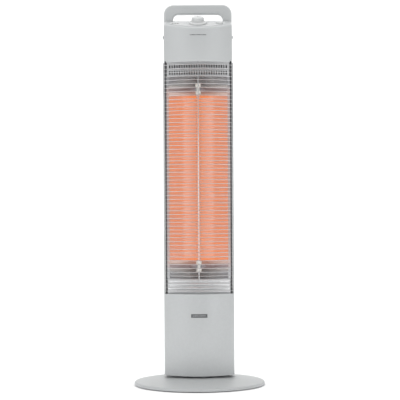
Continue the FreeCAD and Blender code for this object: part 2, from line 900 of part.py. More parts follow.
def make_swing_yoke():
    body = body_named("yoke_body")
    disc = sketch_in(body, "yoke_disc", "XY_Plane", sizes.post_top)
    draw_circle(disc, 0, 0, post_neck)
    draw_circle(disc, 0, 0, sizes.yoke_eye)
    pad(body, disc, sizes.yoke_thickness)
    arm = sketch_in(body, "yoke_arm_outline", "XY_Plane", sizes.post_top)
    half = sizes.yoke_arm / 2
    draw(arm, rectangle((sizes.yoke_eye + sizes.yoke_margin, slot_end + sizes.yoke_margin), (-half, half)))
    pad(body, arm, sizes.yoke_thickness)
    slot = sketch_in(body, "yoke_slot", "XY_Plane", yoke_top)
    side = sizes.crank_pin_radius + sizes.crank_pin_play
    draw(slot, rectangle((slot_start, slot_end), (-side, side)))
    pocket(body, slot, sizes.yoke_thickness)
    taps = sketch_in(body, "yoke_holes", "XY_Plane", yoke_top)
    for x, y in yoke_spots:
        draw_circle(taps, x, y, sizes.small_screw_radius)
    pocket(body, taps, sizes.yoke_thickness)
    node(body, "swing_yoke")
    places = [(x, y, yoke_top) for x, y in yoke_spots]
    shank = sizes.yoke_thickness + sizes.yoke_screw_bite
    fixings = screws("yoke_fixings", places, sizes.small_head_radius, sizes.small_head_height,
                     sizes.small_screw_radius, shank)
    node(fixings, "yoke_screws")


def make_swing_crank():
    pin_x = sizes.motor_offset + crank_throw
    centre = sizes.motor_offset
    disc = rod("crank_disc", crank_throw + sizes.crank_rim, sizes.crank_thickness, centre, 0, crank_bottom)
    pin_drop = sizes.yoke_thickness + sizes.crank_rise + sizes.crank_pin_tip
    pin = rod("crank_pin", sizes.crank_pin_radius, pin_drop, pin_x, 0, crank_bottom - pin_drop)
    shaft_run = sizes.bracket_thickness + sizes.crank_shaft_run
    shaft = rod("crank_shaft", sizes.motor_shaft_radius, shaft_run, centre, 0, crank_top)
    node(fuse("crank", disc, pin, shaft), "swing_crank")


def make_swing_motor():
    middle = sizes.motor_offset
    can = rod("motor_can", sizes.motor_radius, sizes.motor_height, middle, 0, bracket_top)
    ears = rod("motor_ears", sizes.motor_ear_radius, sizes.motor_ear, middle, 0, bracket_top)
    nose = rod("motor_nose", sizes.motor_nose_radius, sizes.bracket_thickness, middle, 0, bracket_bottom)
    bore_depth = sizes.bracket_thickness + sizes.crank_shaft_run - sizes.bracket_gap + OVERCUT
    bore = rod("motor_bore", sizes.motor_shaft_radius + sizes.swivel_play, bore_depth, middle, 0,
               bracket_bottom)
    small = sizes.small_screw_radius
    places = [(middle, side * motor_screw_offset, bracket_top + sizes.motor_ear) for side in (-1, 1)]
    holes = []
    for n, (x, y, _) in enumerate(places):
        holes.append(rod(f"ear_hole_{n}", small, sizes.motor_ear, x, y, bracket_top))
    node(cut("motor", fuse("motor_solid", can, ears, nose), bore, *holes), "swing_motor")
    shank = sizes.motor_ear + sizes.bracket_thickness + sizes.motor_screw_end
    fixings = screws("motor_fixings", places, sizes.small_head_radius, sizes.small_head_height, small, shank)
    node(fixings, "motor_screws")


def make_motor_bracket():
    """A bent plate that stands on the column floor beside the yoke and carries the motor."""
    body = body_named("bracket_body")
    depth = sizes.bracket_half_depth
    wall = sizes.bracket_thickness
    profile = sketch_in(body, "bracket_section", "XZ_Plane", -depth)
    leg_out = rail_outer - sizes.rail_thickness - sizes.bracket_rail_gap
    leg_in = leg_out - wall
    near = sizes.yoke_eye - wall
    draw(profile, [
        line(near, bracket_bottom),
        line(leg_in, bracket_bottom),
        line(leg_in, floor_top + wall),
        line(leg_out - sizes.bracket_foot, floor_top + wall),
        line(leg_out - sizes.bracket_foot, floor_top),
        line(leg_out, floor_top),
        line(leg_out, bracket_top),
        line(near, bracket_top),
    ])
    pad(body, profile, depth * 2)
    holes = sketch_in(body, "bracket_holes", "XY_Plane", bracket_top)
    draw_circle(holes, sizes.motor_offset, 0, sizes.motor_nose_radius)
    for side in (-1, 1):
        draw_circle(holes, sizes.motor_offset, motor_screw_offset * side, sizes.small_screw_radius)
    pocket(body, holes, wall)
    trim = sketch_in(body, "bracket_trim", "XY_Plane", bracket_top)
    narrow = sizes.bracket_leg_half_depth
    inner = leg_out - sizes.bracket_foot - wall
    far = half_width
    draw(trim, rectangle((inner, far), (-depth - OVERCUT, -narrow)))
    draw(trim, rectangle((inner, far), (narrow, depth + OVERCUT)))
    pocket(body, trim, bracket_top - floor_top)
    node(body, "motor_bracket")


def make_column_floor():
    body = body_named("floor_body")
    outline = sketch_in(body, "floor_outline", "XY_Plane", floor_bottom)
    draw(outline, full_steps(sizes.casing_wall + sizes.floor_clearance))
    draw_circle(outline, 0, 0, sizes.post_radius + sizes.swivel_play + sizes.bush_wall)
    pad(body, outline, sizes.floor_thickness)
    node(body, "bottom_plate")
    bore = sizes.post_radius + sizes.swivel_play
    outer = bore + sizes.bush_wall
    sleeve = rod("bush_sleeve", outer, sizes.post_top - sizes.bush_drop - floor_bottom, z=floor_bottom)
    collar = rod("bush_collar", outer + sizes.bush_rim, sizes.floor_thickness, z=floor_top)
    hole = rod("bush_bore", bore, sizes.post_top, z=floor_bottom)
    node(cut("bush", fuse("bush_solid", sleeve, collar), hole), "swivel_bush")


# ---------------------------------------------------------------- tip-over switch

collar_bottom = plate_top + sizes.tip_travel + sizes.tip_rest_gap
collar_top = collar_bottom + sizes.tip_collar_height
tip_ceiling = plate_top + sizes.tip_box_height - sizes.tip_box_wall


def make_tip_switch():
    spot = sizes.tip_offset
    stem = rod("tip_rod", sizes.tip_rod_radius, collar_top, 0, spot, 0)
    collar = rod("tip_collar", sizes.tip_collar_radius, sizes.tip_collar_height, 0, spot, collar_bottom)
    node(fuse("tip_rod_with_collar", stem, collar), "tip_plunger")
    length = sizes.tip_box_length / 2
    width = sizes.tip_box_width / 2
    wall = sizes.tip_box_wall
    top = plate_top + sizes.tip_box_height
    shell = box("tip_box", (-length, length), (spot - width, spot + width), (plate_top, top))
    room = box("tip_room", (wall - length, length - wall), (spot - width + wall, spot + width - wall),
               (plate_top, tip_ceiling))
    way = rod("tip_lead_way", sizes.lead_radius, wall, 0, spot - width, lead_level, X_AXIS, -90)
    node(cut("tip_housing", shell, room, way), "tip_switch_housing")
    inner = sizes.tip_collar_radius + sizes.tip_contact_gap
    outer = length - wall
    blade_y = (spot - sizes.tip_blade_half, spot + sizes.tip_blade_half)
    under = tip_ceiling - sizes.tip_blade
    right = (box("tip_blade_right", (inner, outer), blade_y, (under, tip_ceiling)),
             box("tip_contact_right", (inner, inner + sizes.tip_contact), blade_y, (collar_bottom, under)))
    left = (box("tip_blade_left", (-outer, -inner), blade_y, (under, tip_ceiling)),
            box("tip_contact_left", (-inner - sizes.tip_contact, -inner), blade_y, (collar_bottom, under)))
    node(fuse("tip_blades", *right, *left), "tip_switch_contacts")
    make_plunger_spring(spot)


def make_plunger_spring(spot):
    """A coil spring between the plunger's collar and the housing."""
    wire = float(sizes.spring_wire)
    height = float(tip_ceiling) - float(collar_top) - 2 * wire
    coil = Part.makeHelix(height / float(sizes.spring_turns), height, float(sizes.tip_rod_radius))
    start = FreeCAD.Vector(float(sizes.tip_rod_radius), 0, 0)
    section = Part.Wire(Part.Circle(start, Y_AXIS, wire).toShape())
    spring = DOC.addObject("Part::Feature", "spring_coil")
    spring.Shape = Part.Wire(coil.Edges).makePipeShell([section], True, True)
    spring.Placement = FreeCAD.Placement(FreeCAD.Vector(0, float(spot), float(collar_top) + wire),
                                         FreeCAD.Rotation())
    node(spring, "plunger_spring")


# ---------------------------------------------------------------- column casing

rear_levels = [
    cover_top - sizes.screw_drop_low,
    cover_top - sizes.screw_drop_cover,
    reflector_bottom + sizes.screw_rise_reflector,
    reflector_top - sizes.screw_drop_reflector,
    reflector_top + sizes.screw_rise_vent,
]
boss_face = sizes.rail_rear


def make_rear_casing():
    """Rear half of the column casing, with screw bosses, air slots and the inlet hole."""
    body = body_named("rear_shell_body")
    wall = sketch_in(body, "rear_wall", "XY_Plane", sizes.column_bottom)
    draw(wall, shell_steps(rear_steps, as_size(0), sizes.casing_wall, parting))
    pad(body, wall, head_bottom - sizes.column_bottom)
    slots = sketch_in(body, "rear_slots", "XZ_Plane", -sizes.column_back)
    half_slot = sizes.rear_slot_width / 2
    first = reflector_top - sizes.rear_slot_pitch * (sizes.rear_slot_count - 1)
    draw(slots, rectangle((-half_slot, half_slot), (first, first + sizes.rear_slot_height)))
    opened = pocket(body, slots, sizes.casing_wall, forward=True)
    repeat(body, opened, slots, "V_Axis", sizes.rear_slot_count, sizes.rear_slot_pitch)
    out = sizes.column_back + OVERCUT
    boss_solids = []
    hole_solids = [rod("inlet_hole", sizes.inlet_radius, sizes.casing_wall + 2 * OVERCUT, 0, out,
                       sizes.inlet_height, X_AXIS, 90)]
    depth_at_boss = rear_y + leg(sizes.rear_corner - sizes.casing_wall / 2, rear_boss_x
                                 + sizes.rear_boss_radius - rear_x)
    seat = boss_face + sizes.rear_boss_seat
    seat_radius = sizes.screw_head_radius + sizes.screw_clearance
    hole_radius = sizes.screw_radius + sizes.screw_clearance
    for n, level in enumerate(rear_levels):
        for side in (-1, 1):
            x = rear_boss_x * side
            tag = f"{n}_{side + 1}"
            boss_solids.append(rod(f"rear_boss_{tag}", sizes.rear_boss_radius, depth_at_boss - boss_face,
                                   x, depth_at_boss, level, X_AXIS, 90))
            hole_solids.append(rod(f"rear_seat_{tag}", seat_radius, out - seat, x, out, level, X_AXIS, 90))
            hole_solids.append(rod(f"rear_hole_{tag}", hole_radius, out - boss_face, x, out, level,
                                   X_AXIS, 90))
    solid = fuse("rear_casing_solid", body, *boss_solids)
    node(cut("rear_casing", solid, *hole_solids), "rear_shell")
    places = [(rear_boss_x * side, seat, level) for level in rear_levels for side in (-1, 1)]
    shank = seat - boss_face + sizes.rail_thickness + sizes.rear_screw_end
    fixings = screws("rear_fixings", places, sizes.screw_head_radius, sizes.screw_head_height,
                     sizes.screw_radius, shank, X_AXIS, -90)
    node(fixings, "rear_screws")


def make_lower_cover():
    body = body_named("lower_cover_body")
    wall = sketch_in(body, "cover_wall", "XY_Plane", sizes.column_bottom)
    draw(wall, shell_steps(front_steps, as_size(0), sizes.casing_wall, parting))
    pad(body, wall, sizes.cover_height)
    shelf = sketch_in(body, "cover_shelf", "XY_Plane", cover_top - sizes.casing_wall)
    bow_radius = front_radius - sizes.casing_wall / 2
    reach = leg(bow_radius, arc_middle - shelf_back)
    draw(shelf, [line(reach, shelf_back), arc(-reach, shelf_back, bow_radius, -1)])
    pad(body, shelf, sizes.casing_wall)
    node(body, "lower_cover")


def make_badge():
    """A plain raised plate that follows the bow of the cover."""
    radius = front_radius
    low = cover_top - sizes.badge_drop - sizes.badge_height / 2
    skin = rod("badge_skin", radius + sizes.badge_stand, sizes.badge_height, 0, arc_middle, low)
    core = rod("badge_core", radius, sizes.badge_height, 0, arc_middle, low)
    half = sizes.badge_width / 2
    window = box("badge_window", (-half, half), (-sizes.column_reach - OVERCUT, 0),
                 (low, low + sizes.badge_height))
    node(common("badge", cut("badge_curve", skin, core), window), "badge_lower")


def make_inlet():
    """Bush for the mains lead, in the rear casing."""
    y_out = sizes.column_back + sizes.inlet_outside
    length = sizes.inlet_outside + sizes.casing_wall + sizes.inlet_inside
    sleeve = rod("inlet_sleeve", sizes.inlet_radius, length, 0, y_out, sizes.inlet_height, X_AXIS, 90)
    y_rim = sizes.column_back + sizes.inlet_rim
    rim_disc = rod("inlet_rim_disc", sizes.inlet_rim_radius, sizes.inlet_rim, 0, y_rim, sizes.inlet_height,
                   X_AXIS, 90)
    bore = rod("inlet_bore_hole", sizes.inlet_bore, length, 0, y_out, sizes.inlet_height, X_AXIS, 90)
    node(cut("inlet", fuse("inlet_solid", sleeve, rim_disc), bore), "cord_inlet")


# ---------------------------------------------------------------- frame, reflector and heater

vertex = sizes.reflector_depth - sizes.reflector_mouth
focal = mouth_half * mouth_half / (4 * sizes.reflector_depth)
tube_y = vertex - focal


def make_rail(side, name):
    """A pressed channel that carries the reflector at the front and the rear casing behind."""
    body = body_named(name + "_body")
    section = sketch_in(body, name + "_section", "XY_Plane", floor_top)
    web_in = rail_outer - sizes.rail_thickness
    tip = rail_outer - sizes.rail_flange
    front_tip = mouth_half + sizes.rail_lip_gap
    wall = sizes.rail_thickness
    points = [
        (front_tip, rail_front),
        (rail_outer, rail_front),
        (rail_outer, sizes.rail_rear),
        (tip, sizes.rail_rear),
        (tip, sizes.rail_rear - wall),
        (web_in, sizes.rail_rear - wall),
        (web_in, rail_front + wall),
        (front_tip, rail_front + wall),
    ]
    draw(section, [line(x * side, y) for x, y in points])
    pad(body, section, head_bottom - floor_top)
    through = wall + 2 * OVERCUT
    holes = []
    for n, level in enumerate(rear_levels):
        holes.append(rod(f"{name}_hole_{n}", sizes.screw_radius, through, rear_boss_x * side,
                         sizes.rail_rear + OVERCUT, level, X_AXIS, 90))
    node(cut(name + "_drilled", body, *holes), name)


def trough_arc(half, depth_y, mouth_y):
    """Parabolic arc with its vertex at depth_y, from one mouth edge to the other."""
    curve = Part.Parabola()
    curve.Center = FreeCAD.Vector(0, depth_y, 0)
    curve.Axis = Z_AXIS
    curve.XAxis = FreeCAD.Vector(0, -1, 0)
    curve.Focal = half * half / (4 * (depth_y - mouth_y))
    low = curve.parameter(FreeCAD.Vector(-half, mouth_y, 0))
    high = curve.parameter(FreeCAD.Vector(half, mouth_y, 0))
    return Part.ArcOfParabola(curve, min(low, high), max(low, high)).toShape()


def make_reflector():
    """A bright trough of parabolic section with flat flanges."""
    thick = float(sizes.sheet_thickness)
    mouth = float(mouth_half)
    front = -float(sizes.reflector_mouth)
    flange = float(flange_edge)
    inner = trough_arc(mouth, float(vertex), front)
    outer = trough_arc(mouth + thick, float(vertex) + thick, front + thick)
    edges = [inner, outer]
    for side in (-1, 1):
        corners = [(mouth, front), (flange, front), (flange, front + thick), (mouth + thick, front + thick)]
        spots = [FreeCAD.Vector(x * side, y, 0) for x, y in corners]
        edges += [Part.LineSegment(a, b).toShape() for a, b in zip(spots, spots[1:])]
    wire = Part.Wire(Part.__sortEdges__(edges))
    trough = Part.Face(wire).extrude(FreeCAD.Vector(0, 0, float(sizes.reflector_height)))
    sheet = DOC.addObject("Part::Feature", "reflector_sheet")
    sheet.Shape = trough
    sheet.Placement = FreeCAD.Placement(FreeCAD.Vector(0, 0, float(reflector_bottom)), FreeCAD.Rotation())
    node(sheet, "reflector")


def make_reflector_ends():
    """Flat plates that close the trough, with a hole for the heater's leads."""
    mouth = float(mouth_half)
    front = -float(sizes.reflector_mouth)
    thick = float(sizes.sheet_thickness)
    inner = trough_arc(mouth, float(vertex), front)
    closing = Part.LineSegment(FreeCAD.Vector(-mouth, front, 0), FreeCAD.Vector(mouth, front, 0)).toShape()
    face = Part.Face(Part.Wire(Part.__sortEdges__([inner, closing])))
    plate = face.extrude(FreeCAD.Vector(0, 0, thick))
    hole = Part.makeCylinder(float(sizes.lead_hole_radius), thick, FreeCAD.Vector(0, float(tube_y), 0))
    plate = plate.cut(hole)
    ends = []
    for level in (float(reflector_bottom), float(reflector_top) - thick):
        copy = plate.copy()
        copy.translate(FreeCAD.Vector(0, 0, level))
        ends.append(copy)
    pair = DOC.addObject("Part::Feature", "reflector_end_pair")
    pair.Shape = Part.makeCompound(ends)
    node(pair, "reflector_ends")


cap_low = reflector_bottom + sizes.tube_end_gap
cap_high = reflector_top - sizes.tube_end_gap - sizes.tube_cap_length
tube_low = cap_low + sizes.tube_cap_length - sizes.tube_socket
tube_high = cap_high + sizes.tube_socket


def make_heater():
    tube = ring("quartz", sizes.tube_radius, sizes.tube_radius - sizes.tube_wall, tube_high - tube_low,
                y=tube_y, z=tube_low)
    node(tube, "heater_tube")
    low = tube_low + sizes.element_margin
    length = tube_high - tube_low - 2 * sizes.element_margin
    core = ring("graphite", sizes.element_radius, sizes.element_radius - sizes.element_wall, length,
                y=tube_y, z=low)
    ends = []
    for name, start, stop, plug in (
        ("low", tube_low, low, low),
        ("high", low + length, tube_high, low + length - sizes.element_plug),
    ):
        ends.append(rod(f"tail_{name}", sizes.element_tail_radius, stop - start, 0, tube_y, start))
        ends.append(rod(f"plug_{name}", sizes.element_radius, sizes.element_plug, 0, tube_y, plug))
    node(fuse("graphite_with_tails", core, *ends), "heater_element")
    caps = []
    clips = []
    for name, start, socket in (("low", cap_low, tube_low), ("high", cap_high, cap_high)):
        body = rod(f"cap_{name}_body", sizes.tube_cap_radius, sizes.tube_cap_length, 0, tube_y, start)
        hole = rod(f"cap_{name}_socket", sizes.tube_radius, sizes.tube_socket, 0, tube_y, socket)
        caps.append(cut(f"cap_{name}", body, hole))
        middle = start + sizes.tube_cap_length / 2 - sizes.clip_height / 2
        outer = sizes.tube_cap_radius + sizes.clip_wall
        band = rod(f"clip_{name}_band", outer, sizes.clip_height, 0, tube_y, middle)
        foot = box(f"clip_{name}_foot", (-sizes.clip_foot_half, sizes.clip_foot_half),
                   (tube_y, vertex - sizes.clip_foot_gap), (middle, middle + sizes.clip_height))
        eye = rod(f"clip_{name}_eye", sizes.tube_cap_radius, sizes.clip_height, 0, tube_y, middle)
        mouth = box(f"clip_{name}_mouth", (-sizes.clip_mouth_half, sizes.clip_mouth_half),
                    (tube_y - outer - OVERCUT, tube_y), (middle, middle + sizes.clip_height))
        clips.append(cut(f"clip_{name}", fuse(f"clip_{name}_solid", band, foot), eye, mouth))
    node(fuse("caps", *caps), "tube_caps")
    node(fuse("clips", *clips), "tube_clips")


def make_heat_shield():
    body = body_named("shield_body")
    bottom = reflector_bottom + sizes.shield_margin
    section = sketch_in(body, "shield_section", "XY_Plane", bottom)
    side = rail_outer - sizes.shield_flange
    flange = rail_outer - sizes.rail_clearance
    near = sizes.rail_rear
    deep = sizes.shield_depth
    thick = sizes.sheet_thickness
    draw(section, [
        line(-flange, near),
        line(-side + thick, near),
        line(-side + thick, deep),
        line(side - thick, deep),
        line(side - thick, near),
        line(flange, near),
        line(flange, near + thick),
        line(side, near + thick),
        line(side, deep + thick),
        line(-side, deep + thick),
        line(-side, near + thick),
        line(-flange, near + thick),
    ])
    pad(body, section, sizes.reflector_height - 2 * sizes.shield_margin)
    notches = []
    for n, level in enumerate(rear_levels[2:4]):
        for sign in (-1, 1):
            x = rear_boss_x * sign
            gap = sizes.rear_boss_radius + sizes.shield_notch_play
            notches.append(box(f"shield_notch_{n}_{sign + 1}", (x - gap, x + gap),
                               (near - OVERCUT, near + thick + OVERCUT), (level - gap, level + gap)))
    node(cut("shield_notched", body, *notches), "heat_shield")


def make_vent_plate():
    """A bowed bright plate with two rows of upright slots."""
    body = body_named("vent_plate_body")
    strip = sketch_in(body, "vent_strip", "XY_Plane", reflector_top)
    side = plate_half
    front_edge = -sizes.reflector_mouth
    rear_edge = front_edge + sizes.sheet_thickness
    radius = sizes.plate_radius
    draw(strip, [
        line(side, front_edge),
        arc(-side, front_edge, radius, -1),
        line(-side, rear_edge),
        arc(side, rear_edge, radius - sizes.sheet_thickness, 1),
    ])
    pad(body, strip, sizes.vent_height)
    reach = sizes.column_reach
    for row in range(2):
        slot = sketch_in(body, f"vent_slot_{row}", "XZ_Plane", reach)
        left = -slot_pitch * (sizes.slot_count - 1) / 2 - sizes.slot_width / 2
        low = reflector_top + sizes.slot_row_rise + sizes.slot_row_pitch * row - sizes.slot_height / 2
        draw(slot, rectangle((left, left + sizes.slot_width), (low, low + sizes.slot_height)))
        opened = pocket(body, slot, reach)
        repeat(body, opened, slot, "H_Axis", sizes.slot_count, slot_pitch)
    node(body, "vent_plate")


def make_lower_plate():
    """A bowed bright plate with rounded ribs, turned about the centre of its bow."""
    body = body_named("lower_plate_body")
    section = sketch_in(body, "lower_plate_section", "YZ_Plane")
    side = plate_half
    centre = -sizes.reflector_mouth + leg(sizes.plate_radius, side)
    front = centre - sizes.plate_radius
    back = front + sizes.sheet_thickness
    count = int(round(float(sizes.rib_count)))
    pitch = sizes.lower_plate_height / count
    rib = sizes.rib_radius
    steps = [line(back, cover_top), line(front, cover_top)]
    for n in range(count):
        middle = cover_top + pitch * (n + 0.5)
        steps.append(line(front, middle - rib))
        steps.append(arc(front - rib, middle, rib, -1))
        steps.append(arc(front, middle + rib, rib, -1))
    top = cover_top + sizes.lower_plate_height - sizes.lower_plate_gap
    steps += [line(front, top), line(back, top)]
    draw(section, steps)
    axis_bottom = FreeCAD.Vector(float(centre), 0, 0)
    axis_top = FreeCAD.Vector(float(centre), float(cover_top), 0)
    axis = section.addGeometry(Part.LineSegment(axis_bottom, axis_top), True)
    pin_point(section, axis, 1, centre, 0)
    pin_point(section, axis, 2, centre, cover_top)
    turned = body.newObject("PartDesign::Revolution", "lower_plate_sweep")
    turned.Profile = section
    turned.ReferenceAxis = (section, ["Axis0"])
    turned.Midplane = True
    turned.Angle = math.degrees(2 * math.asin(float(side / sizes.plate_radius)))
    turned.setExpression("Angle", f"2 * asin({(side / sizes.plate_radius).text})")
    node(body, "lower_plate")


def make_guard():
    """Bowed front wires welded to a centre upright and two side uprights."""
    body = body_named("guard_body")
    window = head_bottom - cover_top
    gaps = whole((window - 2 * sizes.guard_end_gap) / sizes.guard_pitch)
    first = cover_top + (window - sizes.guard_pitch * gaps) / 2
    inset = sizes.casing_wall + sizes.weld_depth - sizes.wire_radius
    route = sketch_in(body, "wire_route", "XY_Plane", first)
    draw(route, front_steps(inset, -sizes.guard_back), closed=False)
    section = sketch_in(body, "wire_section", "XZ_Plane", sizes.guard_back)
    draw_circle(section, half_width - inset, first, sizes.wire_radius)
    wire = body.newObject("PartDesign::AdditivePipe", "wire")
    wire.Profile = section
    wire.Spine = (route, [])
    lane = sketch_in(body, "wire_lane", "XZ_Plane")
    repeat(body, wire, lane, "V_Axis", gaps + 1, sizes.guard_pitch)
    radius = sizes.upright_radius
    setback = sizes.casing_wall + radius
    side = half_width - setback
    side_y = larger(corner_y, shelf_back + sizes.upright_shelf_gap)
    front = setback - sizes.column_reach
    tuck = sizes.upright_tuck
    uprights = [
        rod("upright_centre", radius, window, 0, front, cover_top),
        rod("upright_right", radius, window + tuck, side, side_y, cover_top - tuck),
        rod("upright_left", radius, window + tuck, -side, side_y, cover_top - tuck),
    ]
    node(fuse("guard_weldment", body, *uprights), "wire_guard")


# ---------------------------------------------------------------- head and handle

def front_block(name, inset, back, bottom, top_drop):
    """The head's front block under its sloping top."""
    body = body_named(name)
    outline = sketch_in(body, name + "_outline", "XY_Plane", bottom)
    steps = front_steps(inset, back)
    draw(outline, steps)
    ceiling = crest + TOOL_REACH
    pad(body, outline, ceiling - bottom)
    wedge = sketch_in(body, name + "_wedge", "YZ_Plane", -half_width)
    near = -sizes.column_reach - TOOL_REACH
    far = sizes.head_depth + TOOL_REACH
    draw(wedge, [
        line(near, slope_height(near) - top_drop),
        line(far, slope_height(far) - top_drop),
        line(far, ceiling + TOOL_REACH),
        line(near, ceiling + TOOL_REACH),
    ])
    sliced = pocket(body, wedge, half_width * 2, forward=True)
    return body, sliced


def on_slope(edge):
    """True for the edges round the front and sides of the sloping top."""
    tan_slope = math.tan(math.radians(float(sizes.head_slope)))
    back = float(sizes.head_depth)
    for spot in (edge.Vertexes[0].Point, edge.Vertexes[-1].Point, edge.valueAt(edge.FirstParameter)):
        height = float(slope_foot) + (spot.y + float(sizes.column_reach)) * tan_slope
        if abs(spot.z - height) > TOUCH:
            return False
    return not all(abs(corner.Point.y - back) < TOUCH for corner in edge.Vertexes)


def slope_tool(name, radius, length, along, up):
    """A bar square to the control panel, centred at (along, up) on it and starting below it."""
    return rod(name, radius, length, along[0], panel_y(along[1], up), panel_z(along[1], up),
               X_AXIS, sizes.head_slope)


def panel_y(forward, up):
    """Global Y of a point on the control panel: forward up the slope, up along its normal."""
    return -sizes.panel_back_reach + forward * cosine(sizes.head_slope) - up * sine(sizes.head_slope)


def panel_z(forward, up):
    climb = forward * sine(sizes.head_slope) + up * cosine(sizes.head_slope)
    return slope_height(-sizes.panel_back_reach) + climb


roof = sizes.casing_wall
hole_play = sizes.screw_clearance * 2


def make_head_cover():
    outer, sliced = front_block("head_outer", sizes.head_step, sizes.head_depth, head_bottom, as_size(0))
    fillet_edges(outer, sliced, sizes.head_fillet, on_slope)
    drop = roof / cosine(sizes.head_slope)
    inner, _ = front_block("head_inner", sizes.head_step + roof, sizes.head_depth - roof,
                           head_bottom + roof, drop)
    clear = half_width - sizes.head_step - roof
    shelf_gap = box("head_shelf_gap", (-clear, clear), (shelf_back, sizes.head_depth + OVERCUT),
                    (head_bottom - OVERCUT, head_bottom + roof + OVERCUT))
    rear_gap = box("head_rear_gap", (-clear, clear),
                   (sizes.head_depth - roof - OVERCUT, sizes.head_depth + OVERCUT),
                   (head_bottom + roof, pocket_floor - roof))
    holes = [
        slope_tool("dial_hole", sizes.switch_neck_radius + hole_play, roof * 4, (0, 0), -roof * 2),
        slope_tool("button_hole", sizes.button_radius + hole_play, roof * 4, (button_x, 0), -roof * 2),
    ]
    for n, x in enumerate(lens_places):
        holes.append(slope_tool(f"lens_hole_{n}", sizes.lens_radius, roof * 4, (x, 0), -roof * 2))
    node(cut("head_front", outer, inner, shelf_gap, rear_gap, *holes), "head_cover")


def make_head_rear():
    body = body_named("head_rear_body")
    back = sizes.head_depth
    wall = sketch_in(body, "head_rear_wall", "XY_Plane", head_bottom)
    draw(wall, shell_steps(rear_steps, sizes.head_step, sizes.casing_wall, back))
    pad(body, wall, pocket_floor - head_bottom)
    tray = sketch_in(body, "head_rear_tray", "XY_Plane", pocket_floor - sizes.casing_wall)
    draw(tray, rear_steps(sizes.head_step, back))
    pad(body, tray, sizes.casing_wall)
    vent = sketch_in(body, "head_rear_vent", "XZ_Plane", -sizes.column_back)
    half_slot = sizes.head_vent_width / 2
    low = head_bottom + sizes.head_vent_rise
    draw(vent, rectangle((-half_slot, half_slot), (low, low + sizes.rear_slot_height)))
    opened = pocket(body, vent, sizes.head_step + sizes.casing_wall, forward=True)
    repeat(body, opened, vent, "V_Axis", sizes.head_vent_count, sizes.rear_slot_pitch)
    node(body, "head_rear")


handle_front_y = sizes.head_depth + sizes.handle_gap
handle_back_y = handle_front_y + sizes.handle_depth
handle_seam = (handle_front_y + handle_back_y) / 2
handle_side = half_width - sizes.head_step


def arch_steps(inset):
    """The handle's arch, seen from the front."""
    outer = handle_side - inset
    inner = handle_side - sizes.handle_leg + inset
    top = handle_top - inset
    under = handle_top - sizes.handle_bar + inset
    big = sizes.handle_corner - inset
    small = sizes.handle_inner_corner + inset
    foot = pocket_floor
    return [
        line(outer, foot),
        line(outer, top - big),
        arc(outer - big, top, big, 1),
        line(big - outer, top),
        arc(-outer, top - big, big, 1),
        line(-outer, foot),
        line(-inner, foot),
        line(-inner, under - small),
        arc(small - inner, under, small, -1),
        line(inner - small, under),
        arc(inner, under - small, small, -1),
        line(inner, foot),
    ]


def arch(name, inset, front, back):
    body = body_named(name)
    outline = sketch_in(body, name + "_outline", "XZ_Plane", -back)
    draw(outline, arch_steps(inset))
    return body, pad(body, outline, back - front)


def casing_prism(name, inset):
    body = body_named(name)
    outline = sketch_in(body, name + "_outline", "XY_Plane", pocket_floor - TOOL_REACH)
    draw(outline, full_steps(inset))
    pad(body, outline, handle_top - pocket_floor + 2 * TOOL_REACH)
    return body


def make_handle():
    """The carry handle, in a front and a rear shell that meet at a seam."""
    for name, front, back, face in (
        ("handle_front", handle_front_y, handle_seam, handle_front_y),
        ("handle_rear", handle_seam, handle_back_y, handle_back_y),
    ):
        solid, padded = arch(name + "_arch", as_size(0), front, back)
        plane = float(face)
        level = float(pocket_floor) + TOUCH

        def on_face(edge):
            ends = [corner.Point for corner in edge.Vertexes]
            flat = all(abs(spot.y - plane) < TOUCH for spot in ends)
            return flat and not all(spot.z < level for spot in ends)

        fillet_edges(solid, padded, sizes.handle_edge, on_face)
        outside = common(name + "_outside", solid, casing_prism(name + "_prism", sizes.head_step))
        wall = sizes.casing_wall
        start = front + wall if name == "handle_front" else front
        stop = back if name == "handle_front" else back - wall
        core, _ = arch(name + "_core", wall, start, stop)
        hollow = common(name + "_hollow", core, casing_prism(name + "_core_prism", sizes.head_step + wall))
        node(cut(name + "_shell", outside, hollow), name)


def make_side_caps():
    side = half_width - sizes.head_step
    level = head_bottom + sizes.cap_rise
    right = rod("cap_right", sizes.cap_radius, sizes.cap_stand, side, 0, level, Y_AXIS, 90)
    left = rod("cap_left", sizes.cap_radius, sizes.cap_stand, -side, 0, level, Y_AXIS, -90)
    node(fuse("caps_pair", right, left), "side_caps")


# ---------------------------------------------------------------- control panel

def tilted(body):
    """Places a body made flat on the control panel's slope."""
    body.Placement = FreeCAD.Placement(FreeCAD.Vector(), FreeCAD.Rotation(X_AXIS, float(sizes.head_slope)))
    bind(body, "Placement.Rotation.Angle", sizes.head_slope)
    bind(body, "Placement.Base.y", panel_y(0, 0))
    bind(body, "Placement.Base.z", panel_z(0, 0))
    return body


